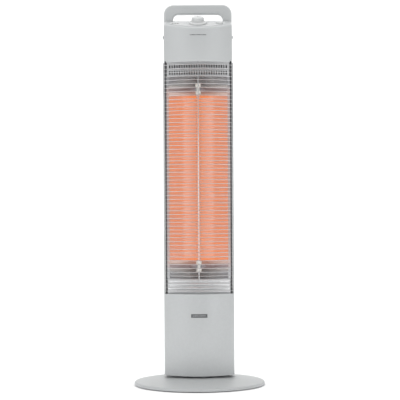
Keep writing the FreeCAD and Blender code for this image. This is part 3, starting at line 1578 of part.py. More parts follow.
def make_control_panel():
    body = body_named("control_panel_body")
    outline = sketch_in(body, "panel_outline", "XY_Plane")
    half = panel_half
    sag = sizes.panel_front - sizes.panel_side_front
    bow_radius = (half * half + sag * sag) / (2 * sag)
    draw(outline, [
        line(half, sizes.panel_rear),
        line(half, -sizes.panel_side_front),
        arc(0, -sizes.panel_front, bow_radius, -1),
        arc(-half, -sizes.panel_side_front, bow_radius, -1),
        line(-half, sizes.panel_rear),
    ])
    draw_circle(outline, 0, 0, sizes.switch_neck_radius + hole_play)
    draw_circle(outline, button_x, 0, sizes.button_radius + hole_play)
    for x in lens_places:
        draw_circle(outline, x, 0, sizes.lens_radius)
    padded = pad(body, outline, sizes.panel_thickness)

    def upright_corner(edge):
        ends = [corner.Point for corner in edge.Vertexes]
        if len(ends) < 2 or abs(ends[0].z - ends[1].z) < TOUCH:
            return False
        return all(abs(abs(spot.x) - float(half)) < TOUCH for spot in ends)

    fillet_edges(body, padded, sizes.panel_corner, upright_corner)
    node(tilted(body), "control_panel")


def make_dial():
    body = body_named("dial_body")
    bottom = sizes.panel_thickness + sizes.dial_lift
    skirt = sketch_in(body, "dial_skirt", "XY_Plane", bottom)
    draw_circle(skirt, 0, 0, sizes.dial_skirt_radius)
    draw_circle(skirt, 0, 0, sizes.dial_shaft_radius)
    pad(body, skirt, sizes.dial_skirt_height)
    grip = sketch_in(body, "dial_grip", "XY_Plane", bottom + sizes.dial_skirt_height - JOIN)
    draw_circle(grip, 0, 0, sizes.dial_grip_radius)
    pad(body, grip, sizes.dial_grip_height + JOIN)
    grip_top = bottom + sizes.dial_skirt_height + sizes.dial_grip_height
    flute = sketch_in(body, "dial_flute", "XY_Plane", grip_top)
    draw_circle(flute, sizes.dial_grip_radius, 0, sizes.dial_flute_radius)
    groove = pocket(body, flute, sizes.dial_grip_height - JOIN)
    around = body.newObject("PartDesign::PolarPattern", "dial_flutes_round")
    around.Originals = [groove]
    around.Axis = (flute, ["N_Axis"])
    around.Angle = 360
    bind(around, "Occurrences", sizes.dial_flutes)
    body.Tip = around
    node(tilted(body), "dial_knob")
    shaft = body_named("dial_shaft_body")
    drop = sizes.switch_depth - sizes.dial_shaft_gap
    stem = sketch_in(shaft, "dial_stem", "XY_Plane", -drop)
    draw_circle(stem, 0, 0, sizes.dial_shaft_radius)
    pad(shaft, stem, drop + bottom + sizes.dial_skirt_height - JOIN)
    node(tilted(shaft), "dial_shaft")


def make_rotary_switch():
    body = body_named("rotary_switch_body")
    half = sizes.switch_side / 2
    bore = sizes.dial_shaft_radius + sizes.swivel_play
    case = sketch_in(body, "switch_case", "XY_Plane", -roof - sizes.switch_depth)
    draw(case, rectangle((-half, half), (-half, half)))
    pad(body, case, sizes.switch_depth - sizes.switch_step)
    neck = sketch_in(body, "switch_neck", "XY_Plane", -roof - sizes.switch_step)
    draw_circle(neck, 0, 0, sizes.switch_neck_radius)
    pad(body, neck, roof + sizes.switch_step)
    hole = sketch_in(body, "switch_bore", "XY_Plane", 0)
    draw_circle(hole, 0, 0, bore)
    pocket(body, hole, sizes.switch_depth - sizes.dial_shaft_gap / 2)
    node(tilted(body), "rotary_switch")


def make_button():
    body = body_named("button_body")
    middle = button_x
    under = roof + sizes.button_play
    cap = sketch_in(body, "button_cap", "XY_Plane", -under)
    draw_circle(cap, middle, 0, sizes.button_radius)
    pad(body, cap, under + sizes.button_height)
    flange = sketch_in(body, "button_flange", "XY_Plane", -under - sizes.button_flange)
    draw_circle(flange, middle, 0, sizes.button_radius + sizes.button_rim)
    padded = pad(body, flange, sizes.button_flange)
    top = float(sizes.button_height)

    def top_edge(edge):
        return all(abs(corner.Point.z - top) < TOUCH for corner in edge.Vertexes)

    fillet_edges(body, padded, sizes.button_fillet, top_edge)
    node(tilted(body), "swing_button")


def make_panel_electrics():
    lens_body = body_named("lens_body")
    lens = sketch_in(lens_body, "lens_outline", "XY_Plane", -roof)
    for x in lens_places:
        draw_circle(lens, x, 0, sizes.lens_radius)
    pad(lens_body, lens, roof + sizes.lens_stand)
    node(tilted(lens_body), "indicator_lenses")
    body = body_named("panel_board_body")
    level = -roof - sizes.board_drop
    outline = sketch_in(body, "panel_board_outline", "XY_Plane", level)
    reach = panel_half - sizes.board_side_gap
    gap = sizes.switch_side / 2 + sizes.board_notch_gap
    near = -sizes.board_front
    far = sizes.panel_rear - sizes.board_front
    draw(outline, [
        line(reach, near),
        line(reach, far),
        line(-reach, far),
        line(-reach, near),
        line(-gap, near),
        line(-gap, gap),
        line(gap, gap),
        line(gap, near),
    ])
    pad(body, outline, sizes.board_thickness)
    node(tilted(body), "panel_board")
    switch = body_named("tact_switch_body")
    top = level + sizes.board_thickness
    stem_top = -roof - sizes.button_play - sizes.button_flange - sizes.button_travel - sizes.tact_gap
    half = sizes.tact_half
    case = sketch_in(switch, "tact_case", "XY_Plane", top)
    draw(case, rectangle((button_x - half, button_x + half), (-half, half)))
    pad(switch, case, (stem_top - top) * sizes.tact_case_share)
    stem = sketch_in(switch, "tact_stem", "XY_Plane", top)
    draw_circle(stem, button_x, 0, sizes.tact_stem_radius)
    pad(switch, stem, stem_top - top)
    node(tilted(switch), "tact_switch")


# ---------------------------------------------------------------- electrics in the lower column

board_half = sizes.power_board_size / 2
board_low = sizes.power_board_low
board_face = sizes.power_board_depth
terminal_level = board_low + sizes.terminal_rise + sizes.terminal_height / 2
terminal_face = board_face - sizes.terminal_depth


def make_power_board():
    back = board_face + sizes.board_thickness
    inside = sizes.column_back - sizes.casing_wall
    board_high = board_low + sizes.power_board_size
    board = box("board_plate", (-board_half, board_half), (board_face, back), (board_low, board_high))
    reach = board_half - sizes.spacer_inset
    spacers = []
    for side in (-1, 1):
        for n, level in enumerate((board_low + sizes.spacer_inset, board_high - sizes.spacer_inset)):
            spacers.append(rod(f"spacer_{n}_{side + 1}", sizes.spacer_radius, inside - back, reach * side,
                               inside, level, X_AXIS, 90))
    node(fuse("board_with_spacers", board, *spacers), "power_board")
    relay_low = board_low + sizes.relay_rise
    relays = []
    for n in range(2):
        x = sizes.relay_pitch * n - sizes.relay_start
        relays.append(box(f"relay_{n}", (x, x + sizes.relay_width),
                          (board_face - sizes.relay_depth, board_face),
                          (relay_low, relay_low + sizes.relay_height)))
    node(fuse("relay_pair", *relays), "relays")
    make_heat_sink()
    x = -sizes.terminal_start
    z = board_low + sizes.terminal_rise
    block = box("terminals", (x, x + sizes.terminal_width), (terminal_face, board_face),
                (z, z + sizes.terminal_height))
    node(block, "terminal_block")


def make_heat_sink():
    low = board_low + sizes.sink_rise
    levels = (low, low + sizes.sink_height)
    root_face = board_face - sizes.sink_base
    tip = board_face - sizes.sink_depth
    start = sizes.sink_start
    stop = start + sizes.fin_pitch * (sizes.fin_count - 1) + sizes.fin_thickness
    pieces = [box("sink_base", (start, stop), (root_face, board_face), levels)]
    for n in range(int(round(float(sizes.fin_count)))):
        x = start + sizes.fin_pitch * n
        pieces.append(box(f"sink_fin_{n}", (x, x + sizes.fin_thickness), (tip, root_face), levels))
    node(fuse("sink", *pieces), "heat_sink")


def make_thermostat():
    back = sizes.shield_depth + sizes.sheet_thickness
    level = reflector_top - sizes.screw_drop_reflector
    tab = sizes.thermostat_tab
    half = sizes.thermostat_tab_half
    can = rod("thermostat_can", sizes.thermostat_radius, sizes.thermostat_depth, 0,
              back + sizes.thermostat_depth, level, X_AXIS, 90)
    tabs = box("thermostat_tabs", (-tab, tab), (back, back + sizes.sheet_thickness),
               (level - half, level + half))
    node(fuse("thermostat_solid", can, tabs), "thermostat")


def make_leads():
    radius = sizes.lead_radius
    bend = sizes.lead_bend
    side = rail_outer - sizes.rail_flange - sizes.lead_rail_gap
    behind = vertex - side * side / (4 * focal) + sizes.lead_trough_gap
    step = sizes.lead_step
    turn_level = cover_top - sizes.lead_drop
    lower = [(0, tube_y, cap_low), (0, tube_y, turn_level), (-step, tube_y, turn_level),
             (-step, tube_y, terminal_level), (-step, terminal_face, terminal_level)]
    upper_level = head_bottom - sizes.lead_head_gap
    spread = sizes.lead_spread
    upper = [(0, tube_y, cap_high + sizes.tube_cap_length), (0, tube_y, upper_level),
             (-side, behind, upper_level), (-side, behind, terminal_level),
             (-spread, behind, terminal_level), (-spread, terminal_face, terminal_level)]
    pair = [lead("lead_to_bottom", lower, radius, bend), lead("lead_to_top", upper, radius, bend)]
    node(fuse("heater_lead_pair", *pair), "heater_leads")
    rise = board_low + sizes.cable_rise
    high = crest - sizes.cable_drop
    board_under = panel_z(sizes.cable_panel, -roof - sizes.board_drop) - sizes.cable_board_gap
    across = sizes.cable_side
    riser = [(spread, board_face, rise), (spread, behind, rise), (side, behind, rise), (side, behind, high),
             (across, behind, high), (across, behind, board_under)]
    node(lead("cable_to_panel", riser, radius, bend), "panel_cable")
    turn_in = board_low + sizes.lead_radius * 3
    swing = [(0, 0, yoke_top + sizes.lead_clearance), (0, 0, turn_in), (0, board_face, turn_in)]
    node(lead("lead_from_base", swing, radius, bend), "switch_leads")
    tip_face = sizes.tip_offset - sizes.tip_box_width / 2
    base = [(0, tip_face, lead_level), (0, 0, lead_level), (0, 0, yoke_top)]
    node(lead("lead_in_base", base, radius, bend), "base_leads")


make_base_cover()
make_base_plate()
make_base_fittings()
make_swivel_post()
make_swing_yoke()
make_swing_crank()
make_swing_motor()
make_motor_bracket()
make_column_floor()
make_tip_switch()
make_rear_casing()
make_lower_cover()
make_badge()
make_inlet()
make_rail(1, "frame_rail_right")
make_rail(-1, "frame_rail_left")
make_reflector()
make_reflector_ends()
make_heater()
make_heat_shield()
make_vent_plate()
make_lower_plate()
make_guard()
make_head_cover()
make_head_rear()
make_handle()
make_side_caps()
make_control_panel()
make_dial()
make_rotary_switch()
make_button()
make_panel_electrics()
make_power_board()
make_thermostat()
make_leads()

DOC.recompute()

faults = [item.Name for item in DOC.Objects if "Invalid" in item.State or "Error" in item.State]
for part in NODES:
    if part.Shape.isNull() or not part.Shape.isValid() or not part.Shape.Solids:
        faults.append(part.Label)
if faults:
    raise RuntimeError("failed objects: " + ", ".join(faults))

os.makedirs("parts", exist_ok=True)
for part in NODES:
    part.Shape.exportStep(f"parts/{part.Label}.step")
print(len(NODES), "nodes")
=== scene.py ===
import json
import math

import bmesh
import bpy
from bpy.props import FloatProperty, FloatVectorProperty, IntProperty, PointerProperty
from mathutils import Matrix, Vector


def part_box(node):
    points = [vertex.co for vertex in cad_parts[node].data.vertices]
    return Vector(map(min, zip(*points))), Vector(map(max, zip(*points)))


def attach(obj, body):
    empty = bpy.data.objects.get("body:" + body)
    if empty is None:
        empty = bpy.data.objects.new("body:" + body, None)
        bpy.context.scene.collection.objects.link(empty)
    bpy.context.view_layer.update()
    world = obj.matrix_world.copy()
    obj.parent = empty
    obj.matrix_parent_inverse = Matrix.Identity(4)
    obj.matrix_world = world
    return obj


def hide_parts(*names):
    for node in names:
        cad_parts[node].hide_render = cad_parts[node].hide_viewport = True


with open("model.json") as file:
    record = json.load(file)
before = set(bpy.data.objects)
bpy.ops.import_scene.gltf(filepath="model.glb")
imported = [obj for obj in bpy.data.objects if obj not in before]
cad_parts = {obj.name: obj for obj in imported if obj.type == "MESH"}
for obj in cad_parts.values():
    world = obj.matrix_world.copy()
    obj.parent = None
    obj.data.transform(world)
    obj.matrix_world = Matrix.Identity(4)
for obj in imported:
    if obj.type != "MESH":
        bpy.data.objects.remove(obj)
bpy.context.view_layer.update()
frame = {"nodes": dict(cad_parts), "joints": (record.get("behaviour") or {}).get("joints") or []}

bl_info = {
    "name": "Tower heater finish",
    "version": (1, 0, 0),
    "blender": (4, 5, 0),
    "location": "View3D > Sidebar > Heater",
    "description": "Finishes the swinging infrared tower heater and its stage",
    "category": "Object",
}

NODES = frame["nodes"]


# ---------------------------------------------------------------- places taken from the frame

def low(node, axis):
    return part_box(node)[0][axis]


def high(node, axis):
    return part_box(node)[1][axis]


def middle(node):
    lowest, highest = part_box(node)
    return (Vector(lowest) + Vector(highest)) / 2


MM = 0.001
COLUMN_HALF = high("lower_cover", 0)
COLUMN_REACH = -low("lower_cover", 1)
COVER_TOP = high("lower_cover", 2)
HEAD_BOTTOM = low("head_cover", 2)
REFLECTOR_LOW = low("reflector", 2)
REFLECTOR_HIGH = high("reflector", 2)
MOUTH_Y = low("reflector", 1)
TUBE_Y = middle("heater_tube").y
GLOW_LOW = low("heater_element", 2)
GLOW_HIGH = high("heater_element", 2)


# ---------------------------------------------------------------- settings

def length(name, description, default):
    return FloatProperty(name=name, description=description, default=default, unit="LENGTH",
                         subtype="DISTANCE")


def tint(name, description, default):
    return FloatVectorProperty(name=name, description=description, default=default, subtype="COLOR",
                               size=3, min=0.0, max=1.0)


class HeaterSizes(bpy.types.PropertyGroup):
    bow_radius: length("Bow radius", "Radius of the bowed front seen from above", 123 * MM)
    corner_radius: length("Corner radius", "Rounding from the bowed front into the sides", 12 * MM)
    casing_wall: length("Casing wall", "Thickness of the moulded casings", 2.5 * MM)
    wire_radius: length("Guard wire radius", "Radius of the guard's wires", 0.8 * MM)
    upright_radius: length("Guard upright radius", "Radius of the guard's three uprights", 1.25 * MM)
    weld_depth: length("Weld depth", "How far the uprights sink into the wires", 0.3 * MM)
    wire_pitch: length("Guard wire pitch", "Height from one guard wire to the next", 9.65 * MM)
    wire_count: IntProperty(name="Guard wires", description="How many wires the guard has", default=60, min=2)
    sheet: length("Sheet thickness", "Thickness of the bright sheet parts", 0.8 * MM)
    plate_bow: length("Plate bow radius", "Bow of the bright plates behind the guard", 300 * MM)
    slot_count: IntProperty(name="Vent slots", description="Slots in each row", default=24, min=2)
    slot_width: length("Slot width", "Width of a vent slot", 3.2 * MM)
    slot_height: length("Slot height", "Height of a vent slot", 10.5 * MM)
    slot_row_pitch: length("Slot row pitch", "Height from the lower slot row to the upper one", 16.4 * MM)
    slot_row_rise: length("Slot row rise", "Plate edge to the middle of the lower row", 10.0 * MM)
    spiral_turns: IntProperty(name="Spiral turns", description="Turns of the spiral", default=64, min=4)
    spiral_width: length("Spiral ribbon width", "Width of the heating ribbon", 6.2 * MM)
    dial_ridges: IntProperty(name="Dial ridges", description="Grip ridges round the dial", default=30, min=6)


class HeaterColours(bpy.types.PropertyGroup):
    casing: tint("Casing", "Silver-grey of the mouldings", (0.50, 0.515, 0.52))
    base: tint("Base", "Silver-grey of the base", (0.44, 0.455, 0.46))
    control: tint("Controls", "Light grey of dial and button", (0.56, 0.57, 0.57))
    film: tint("Panel film", "Grey of the control panel", (0.56, 0.57, 0.575))
    bright: tint("Bright metal", "Polished sheet and plated wire", (0.86, 0.87, 0.88))
    glow: tint("Glow", "Colour of the heating element", (1.0, 0.23, 0.022))
    # The dark tint also blackens the frame rails, where it is painted shade.
    dark: tint("Dark parts", "Black mouldings and painted steel", (0.028, 0.028, 0.03))


def sizes():
    return bpy.context.scene.heater_sizes


def colours():
    return bpy.context.scene.heater_colours


# ---------------------------------------------------------------- shader helpers

def link(tree, source, target):
    tree.links.new(source, target)


def feed(tree, socket, value):
    """Links a socket, or sets a constant on it."""
    if isinstance(value, bpy.types.NodeSocket):
        link(tree, value, socket)
    else:
        socket.default_value = value


def make_node(tree, kind, **values):
    """A node; values are inputs by name, with _ for a space, or else the node's own settings."""
    made = tree.nodes.new(kind)
    for key, value in values.items():
        label = key.replace("_", " ")
        if label in made.inputs:
            feed(tree, made.inputs[label], value)
        else:
            setattr(made, key, value)
    return made


def maths(tree, operation, first, second=0.0):
    made = make_node(tree, "ShaderNodeMath", operation=operation)
    feed(tree, made.inputs[0], first)
    feed(tree, made.inputs[1], second)
    return made.outputs[0]


def mix_colour(tree, factor, first, second):
    made = make_node(tree, "ShaderNodeMix", data_type="RGBA")
    for socket, value in zip((made.inputs[0], made.inputs[6], made.inputs[7]), (factor, first, second)):
        feed(tree, socket, value)
    return made.outputs[2]


def noise(tree, vector, scale, detail=2.0, roughness=0.5):
    return make_node(tree, "ShaderNodeTexNoise", Vector=vector, Scale=scale, Detail=detail,
                     Roughness=roughness).outputs["Fac"]


def steps(tree, value, from_low, from_high, to_low=0.0, to_high=1.0):
    """The value carried from one range to another, held at its ends."""
    return make_node(tree, "ShaderNodeMapRange", clamp=True, Value=value, From_Min=from_low,
                     From_Max=from_high, To_Min=to_low, To_Max=to_high).outputs["Result"]


def shader_group(name, inputs, outputs, build):
    """A reusable effect, built once: build(tree, inlet, outlet) wires it."""
    if name in bpy.data.node_groups:
        return bpy.data.node_groups[name]
    tree = bpy.data.node_groups.new(name, "ShaderNodeTree")
    for label, kind, default in inputs:
        socket = tree.interface.new_socket(name=label, in_out="INPUT", socket_type=kind)
        socket.default_value = default
    for label, kind in outputs:
        tree.interface.new_socket(name=label, in_out="OUTPUT", socket_type=kind)
    inlet = tree.nodes.new("NodeGroupInput")
    outlet = tree.nodes.new("NodeGroupOutput")
    build(tree, inlet.outputs, outlet.inputs)
    return tree


def use_group(tree, group, **values):
    made = tree.nodes.new("ShaderNodeGroup")
    made.node_tree = group
    for key, value in values.items():
        feed(tree, made.inputs[key.replace("_", " ")], value)
    return made


def object_coordinates(tree):
    return tree.nodes.new("ShaderNodeTexCoord").outputs["Object"]


FLOAT = "NodeSocketFloat"
COLOUR = "NodeSocketColor"
VECTOR = "NodeSocketVector"
INTEGER = "NodeSocketInt"


def fleck_group():
    """Satin paint: fine metallic flecks, a soft drift of tone, and orange-peel height."""
    def build(tree, inlet, outlet):
        place = object_coordinates(tree)
        drift = noise(tree, place, 9.0, 3.0)
        drifted = mix_colour(tree, maths(tree, "MULTIPLY", steps(tree, drift, 0.3, 0.7), inlet["Drift"]),
                             inlet["Color"], inlet["Drift Color"])
        flakes = make_node(tree, "ShaderNodeTexVoronoi", Vector=place, Scale=inlet["Scale"])
        glint = maths(tree, "MULTIPLY", steps(tree, flakes.outputs["Color"], 0.72, 0.95), inlet["Fleck"])
        link(tree, mix_colour(tree, glint, drifted, inlet["Fleck Color"]), outlet["Color"])
        peel = noise(tree, place, 420.0, 2.0)
        link(tree, maths(tree, "ADD", peel, maths(tree, "MULTIPLY", flakes.outputs["Distance"], 0.35)),
             outlet["Height"])
        link(tree, maths(tree, "ADD", inlet["Roughness"], maths(tree, "MULTIPLY", maths(
            tree, "SUBTRACT", drift, 0.5), 0.12)), outlet["Roughness"])

    return shader_group("Satin fleck", [
        ("Color", COLOUR, (0.5, 0.5, 0.5, 1)), ("Drift Color", COLOUR, (0.45, 0.45, 0.46, 1)),
        ("Fleck Color", COLOUR, (0.9, 0.9, 0.92, 1)), ("Drift", FLOAT, 0.3), ("Fleck", FLOAT, 0.25),
        ("Scale", FLOAT, 1500.0), ("Roughness", FLOAT, 0.4),
    ], [("Color", COLOUR), ("Height", FLOAT), ("Roughness", FLOAT)], build)


def brushed_group():
    """Fine parallel rolling marks along one axis, with a slow tone change."""
    def build(tree, inlet, outlet):
        place = object_coordinates(tree)
        mapping = make_node(tree, "ShaderNodeMapping", Vector=place, Scale=inlet["Stretch"])
        marks = noise(tree, mapping.outputs["Vector"], 1.0, 4.0, 0.6)
        slow = noise(tree, place, 14.0, 2.0)
        lined = maths(tree, "MULTIPLY", marks, inlet["Amount"])
        toned = mix_colour(tree, lined, inlet["Color"], inlet["Shade"])
        link(tree, mix_colour(tree, maths(tree, "MULTIPLY", slow, inlet["Amount"]), toned, inlet["Shade"]),
             outlet["Color"])
        link(tree, marks, outlet["Height"])
        link(tree, maths(tree, "ADD", inlet["Roughness"], maths(tree, "MULTIPLY", marks, 0.14)),
             outlet["Roughness"])

    return shader_group("Brushed marks", [
        ("Color", COLOUR, (0.8, 0.8, 0.8, 1)), ("Shade", COLOUR, (0.5, 0.5, 0.52, 1)), ("Amount", FLOAT, 0.3),
        ("Stretch", VECTOR, (40.0, 40.0, 1600.0)), ("Roughness", FLOAT, 0.2),
    ], [("Color", COLOUR), ("Height", FLOAT), ("Roughness", FLOAT)], build)


def wear_group():
    """Where edges rub: a broken mask along convex edges."""
    def build(tree, inlet, outlet):
        geometry = tree.nodes.new("ShaderNodeNewGeometry")
        edges = steps(tree, geometry.outputs["Pointiness"], 0.52, 0.60)
        broken = steps(tree, noise(tree, object_coordinates(tree), 160.0, 4.0), 0.42, 0.62)
        mask = maths(tree, "MULTIPLY", maths(tree, "MULTIPLY", edges, broken), inlet["Amount"])
        link(tree, mask, outlet["Mask"])
        link(tree, mix_colour(tree, mask, inlet["Color"], inlet["Worn Color"]), outlet["Color"])

    return shader_group("Edge rub", [
        ("Color", COLOUR, (0.5, 0.5, 0.5, 1)), ("Worn Color", COLOUR, (0.8, 0.8, 0.8, 1)),
        ("Amount", FLOAT, 0.5),
    ], [("Color", COLOUR), ("Mask", FLOAT)], build)


def dust_group():
    """A thin film of dust on what faces up."""
    def build(tree, inlet, outlet):
        geometry = tree.nodes.new("ShaderNodeNewGeometry")
        split = make_node(tree, "ShaderNodeSeparateXYZ", Vector=geometry.outputs["Normal"])
        patches = steps(tree, noise(tree, object_coordinates(tree), 60.0, 5.0, 0.65), 0.35, 0.75)
        facing = steps(tree, split.outputs["Z"], 0.35, 1.0)
        mask = maths(tree, "MULTIPLY", maths(tree, "MULTIPLY", facing, patches), inlet["Amount"])
        link(tree, mix_colour(tree, mask, inlet["Color"], inlet["Dust Color"]), outlet["Color"])
        dulled = maths(tree, "MULTIPLY", mask, 0.3)
        link(tree, maths(tree, "ADD", inlet["Roughness"], dulled), outlet["Roughness"])

    return shader_group("Settled dust", [
        ("Color", COLOUR, (0.5, 0.5, 0.5, 1)), ("Dust Color", COLOUR, (0.62, 0.60, 0.56, 1)),
        ("Amount", FLOAT, 0.15), ("Roughness", FLOAT, 0.4),
    ], [("Color", COLOUR), ("Roughness", FLOAT)], build)


def new_material(name):
    material = bpy.data.materials.new(name)
    material.use_nodes = True
    tree = material.node_tree
    shader = tree.nodes["Principled BSDF"]
    return material, tree, shader


def bump(tree, height, shader, strength, distance=0.0002):
    made = make_node(tree, "ShaderNodeBump", Strength=strength, Distance=distance, Height=height)
    link(tree, made.outputs["Normal"], shader.inputs["Normal"])


def rgba(colour, gain=1.0):
    return tuple(min(1.0, channel * gain) for channel in colour) + (1.0,)


MADE = {}


def finish(name, maker, *values, **options):
    """Each finish is made once and then shared."""
    if name not in MADE:
        MADE[name] = maker(name, *values, **options)
    return MADE[name]


def level_of(tree):
    """How high the shaded point is."""
    return make_node(tree, "ShaderNodeSeparateXYZ", Vector=object_coordinates(tree)).outputs["Z"]


def weather(tree, shader, tone, worn, rub, roughness, dust):
    """Rubs the tone at the edges, dusts it and gives it to the shader."""
    rubbed = use_group(tree, wear_group(), Color=tone, Worn_Color=worn, Amount=rub)
    dusty = use_group(tree, dust_group(), Color=rubbed.outputs["Color"], Roughness=roughness, Amount=dust)
    link(tree, dusty.outputs["Color"], shader.inputs["Base Color"])
    link(tree, dusty.outputs["Roughness"], shader.inputs["Roughness"])


def satin_moulding(name, colour, roughness=0.42, metallic=0.25, fleck=0.22, dust=0.12, grain=0.12):
    """Moulded plastic with a satin metallic paint."""
    material, tree, shader = new_material(name)
    paint = use_group(tree, fleck_group(), Color=rgba(colour), Drift_Color=rgba(colour, 0.93),
                      Fleck_Color=rgba(colour, 1.5), Fleck=fleck, Roughness=roughness)
    weather(tree, shader, paint.outputs["Color"], rgba(colour, 1.25), 0.35, paint.outputs["Roughness"], dust)
    shader.inputs["Metallic"].default_value = metallic
    shader.inputs["Coat Roughness"].default_value = 0.3
    shader.inputs["Coat Weight"].default_value = 0.15
    bump(tree, paint.outputs["Height"], shader, grain)
    return material


def plain_moulding(name, colour, roughness=0.5, grain=0.25, dust=0.08, scale=900.0):
    """Uncoated plastic with a spark-eroded grain."""
    material, tree, shader = new_material(name)
    place = object_coordinates(tree)
    grain_height = noise(tree, place, scale, 3.0, 0.6)
    patches = steps(tree, noise(tree, place, 25.0, 3.0), 0.3, 0.7)
    tone = mix_colour(tree, patches, rgba(colour), rgba(colour, 0.88))
    weather(tree, shader, tone, rgba(colour, 1.4), 0.4, roughness, dust)
    bump(tree, grain_height, shader, grain, 0.0001)
    return material


def bright_metal(name, colour, roughness=0.12, stretch=(40.0, 40.0, 1600.0), amount=0.16, height=0.04):
    """Rolled or plated bright metal with fine marks along one axis."""
    material, tree, shader = new_material(name)
    marks = use_group(tree, brushed_group(), Color=rgba(colour), Shade=rgba(colour, 0.62), Amount=amount,
                      Stretch=stretch, Roughness=roughness)
    link(tree, marks.outputs["Color"], shader.inputs["Base Color"])
    link(tree, marks.outputs["Roughness"], shader.inputs["Roughness"])
    shader.inputs["Metallic"].default_value = 1.0
    bump(tree, marks.outputs["Height"], shader, height, 0.0001)
    return material


def painted_sheet(name, colour, roughness=0.45):
    """Powder-coated sheet steel."""
    material, tree, shader = new_material(name)
    place = object_coordinates(tree)
    pebble = noise(tree, place, 700.0, 2.0, 0.4)
    tone = mix_colour(tree, noise(tree, place, 30.0, 3.0), rgba(colour), rgba(colour, 1.35))
    weather(tree, shader, tone, (0.3, 0.3, 0.31, 1), 0.5, roughness, 0.2)
    bump(tree, pebble, shader, 0.35, 0.0001)
    return material


def reflector_mirror_with_painted_glow(name, colour):
    """Polished trough: rolling marks, heat tint, and a painted reflection of the glow, emitted where the tube
    is hot.
    """
    material, tree, shader = new_material(name)
    marks = use_group(tree, brushed_group(), Color=rgba(colour), Shade=rgba(colour, 0.72), Amount=0.14,
                      Stretch=(1500.0, 1500.0, 12.0), Roughness=0.05)
    # Painted reflection: the trough itself emits the glow colour along the element's heated length.
    level = level_of(tree)
    fade = 10 * MM
    hot = maths(tree, "MULTIPLY", steps(tree, level, GLOW_LOW - fade, GLOW_LOW + fade),
                steps(tree, level, GLOW_HIGH - fade, GLOW_HIGH + fade, 1.0, 0.0))
    stain = maths(tree, "MULTIPLY", noise(tree, object_coordinates(tree), 18.0, 3.0), 0.25)
    heat_tint = mix_colour(tree, stain, marks.outputs["Color"], (0.78, 0.74, 0.86, 1))
    link(tree, heat_tint, shader.inputs["Base Color"])
    link(tree, marks.outputs["Roughness"], shader.inputs["Roughness"])
    painted_glow_ripple = maths(tree, "ADD", 0.85, maths(tree, "MULTIPLY", marks.outputs["Height"], 0.3))
    link(tree, mix_colour(tree, maths(tree, "MULTIPLY", hot, painted_glow_ripple), (0, 0, 0, 1), rgba(colours().glow)),
         shader.inputs["Emission Color"])
    # Faint emission strength of the painted glow reflection.
    shader.inputs["Emission Strength"].default_value = 0.16
    shader.inputs["Metallic"].default_value = 1.0
    bump(tree, marks.outputs["Height"], shader, 0.02, 0.0001)
    return material


def glowing_graphite(name):
    """The hot element: even along its length, fading to dull red at its ends, with a fine grain."""
    material, tree, shader = new_material(name)
    level = level_of(tree)
    fade = 14 * MM
    rise = steps(tree, level, GLOW_LOW, GLOW_LOW + fade)
    fall = steps(tree, level, GLOW_HIGH - fade, GLOW_HIGH, 1.0, 0.0)
    grain = noise(tree, object_coordinates(tree), 500.0, 3.0)
    even = maths(tree, "MULTIPLY", rise, fall)
    heat = maths(tree, "MULTIPLY", even, steps(tree, grain, 0.2, 0.8, 0.9, 1.0))
    shine = mix_colour(tree, heat, (0.30, 0.03, 0.004, 1), rgba(colours().glow))
    link(tree, shine, shader.inputs["Emission Color"])
    shader.inputs["Emission Strength"].default_value = 1.05
    carbon = mix_colour(tree, grain, (0.03, 0.03, 0.03, 1), (0.06, 0.055, 0.05, 1))
    link(tree, carbon, shader.inputs["Base Color"])
    link(tree, steps(tree, grain, 0.2, 0.8, 0.55, 0.8), shader.inputs["Roughness"])
    return material


def clear_quartz(name):
    """Fused quartz with faint drawing streaks."""
    material, tree, shader = new_material(name)
    streaks = noise(tree, object_coordinates(tree), 60.0, 2.0)
    link(tree, steps(tree, streaks, 0.3, 0.7, 0.02, 0.06), shader.inputs["Roughness"])
    link(tree, mix_colour(tree, streaks, (1, 1, 1, 1), (0.97, 0.96, 0.95, 1)), shader.inputs["Base Color"])
    shader.inputs["Transmission Weight"].default_value = 1.0
    shader.inputs["IOR"].default_value = 1.458
    return material


def unglazed_ceramic(name):
    """Porous white ceramic, scorched in patches."""
    material, tree, shader = new_material(name)
    place = object_coordinates(tree)
    pores = noise(tree, place, 800.0, 4.0, 0.7)
    scorch = steps(tree, noise(tree, place, 120.0, 4.0), 0.5, 0.8)
    clay = mix_colour(tree, scorch, (0.80, 0.78, 0.73, 1), (0.58, 0.52, 0.44, 1))
    link(tree, clay, shader.inputs["Base Color"])
    link(tree, steps(tree, pores, 0.2, 0.8, 0.6, 0.85), shader.inputs["Roughness"])
    bump(tree, pores, shader, 0.4, 0.0001)
    return material


def circuit_laminate(name):
    """Green solder mask with tracks and pads."""
    material, tree, shader = new_material(name)
    place = object_coordinates(tree)
    bricks = make_node(tree, "ShaderNodeTexBrick", Vector=place, Scale=150.0, Mortar_Size=0.06,
                       Color1=(0.012, 0.085, 0.035, 1), Color2=(0.016, 0.11, 0.045, 1),
                       Mortar=(0.03, 0.20, 0.07, 1))
    spots = make_node(tree, "ShaderNodeTexVoronoi", Vector=place, Scale=220.0)
    pads = steps(tree, spots.outputs["Distance"], 0.13, 0.18, 1.0, 0.0)
    printed = mix_colour(tree, pads, bricks.outputs["Color"], (0.72, 0.70, 0.64, 1))
    link(tree, printed, shader.inputs["Base Color"])
    link(tree, maths(tree, "SUBTRACT", 0.4, maths(tree, "MULTIPLY", pads, 0.15)), shader.inputs["Roughness"])
    bump(tree, pads, shader, 0.5, 0.0002)
    return material


def sleeved_lead(name, colour):
    """Braided glass-fibre sleeve."""
    material, tree, shader = new_material(name)
    weave = make_node(tree, "ShaderNodeTexWave", bands_direction="DIAGONAL", Vector=object_coordinates(tree),
                      Scale=420.0, Distortion=1.5)
    braid = mix_colour(tree, weave.outputs["Fac"], rgba(colour), rgba(colour, 0.72))
    link(tree, braid, shader.inputs["Base Color"])
    shader.inputs["Roughness"].default_value = 0.75
    bump(tree, weave.outputs["Fac"], shader, 0.4, 0.0002)
    return material


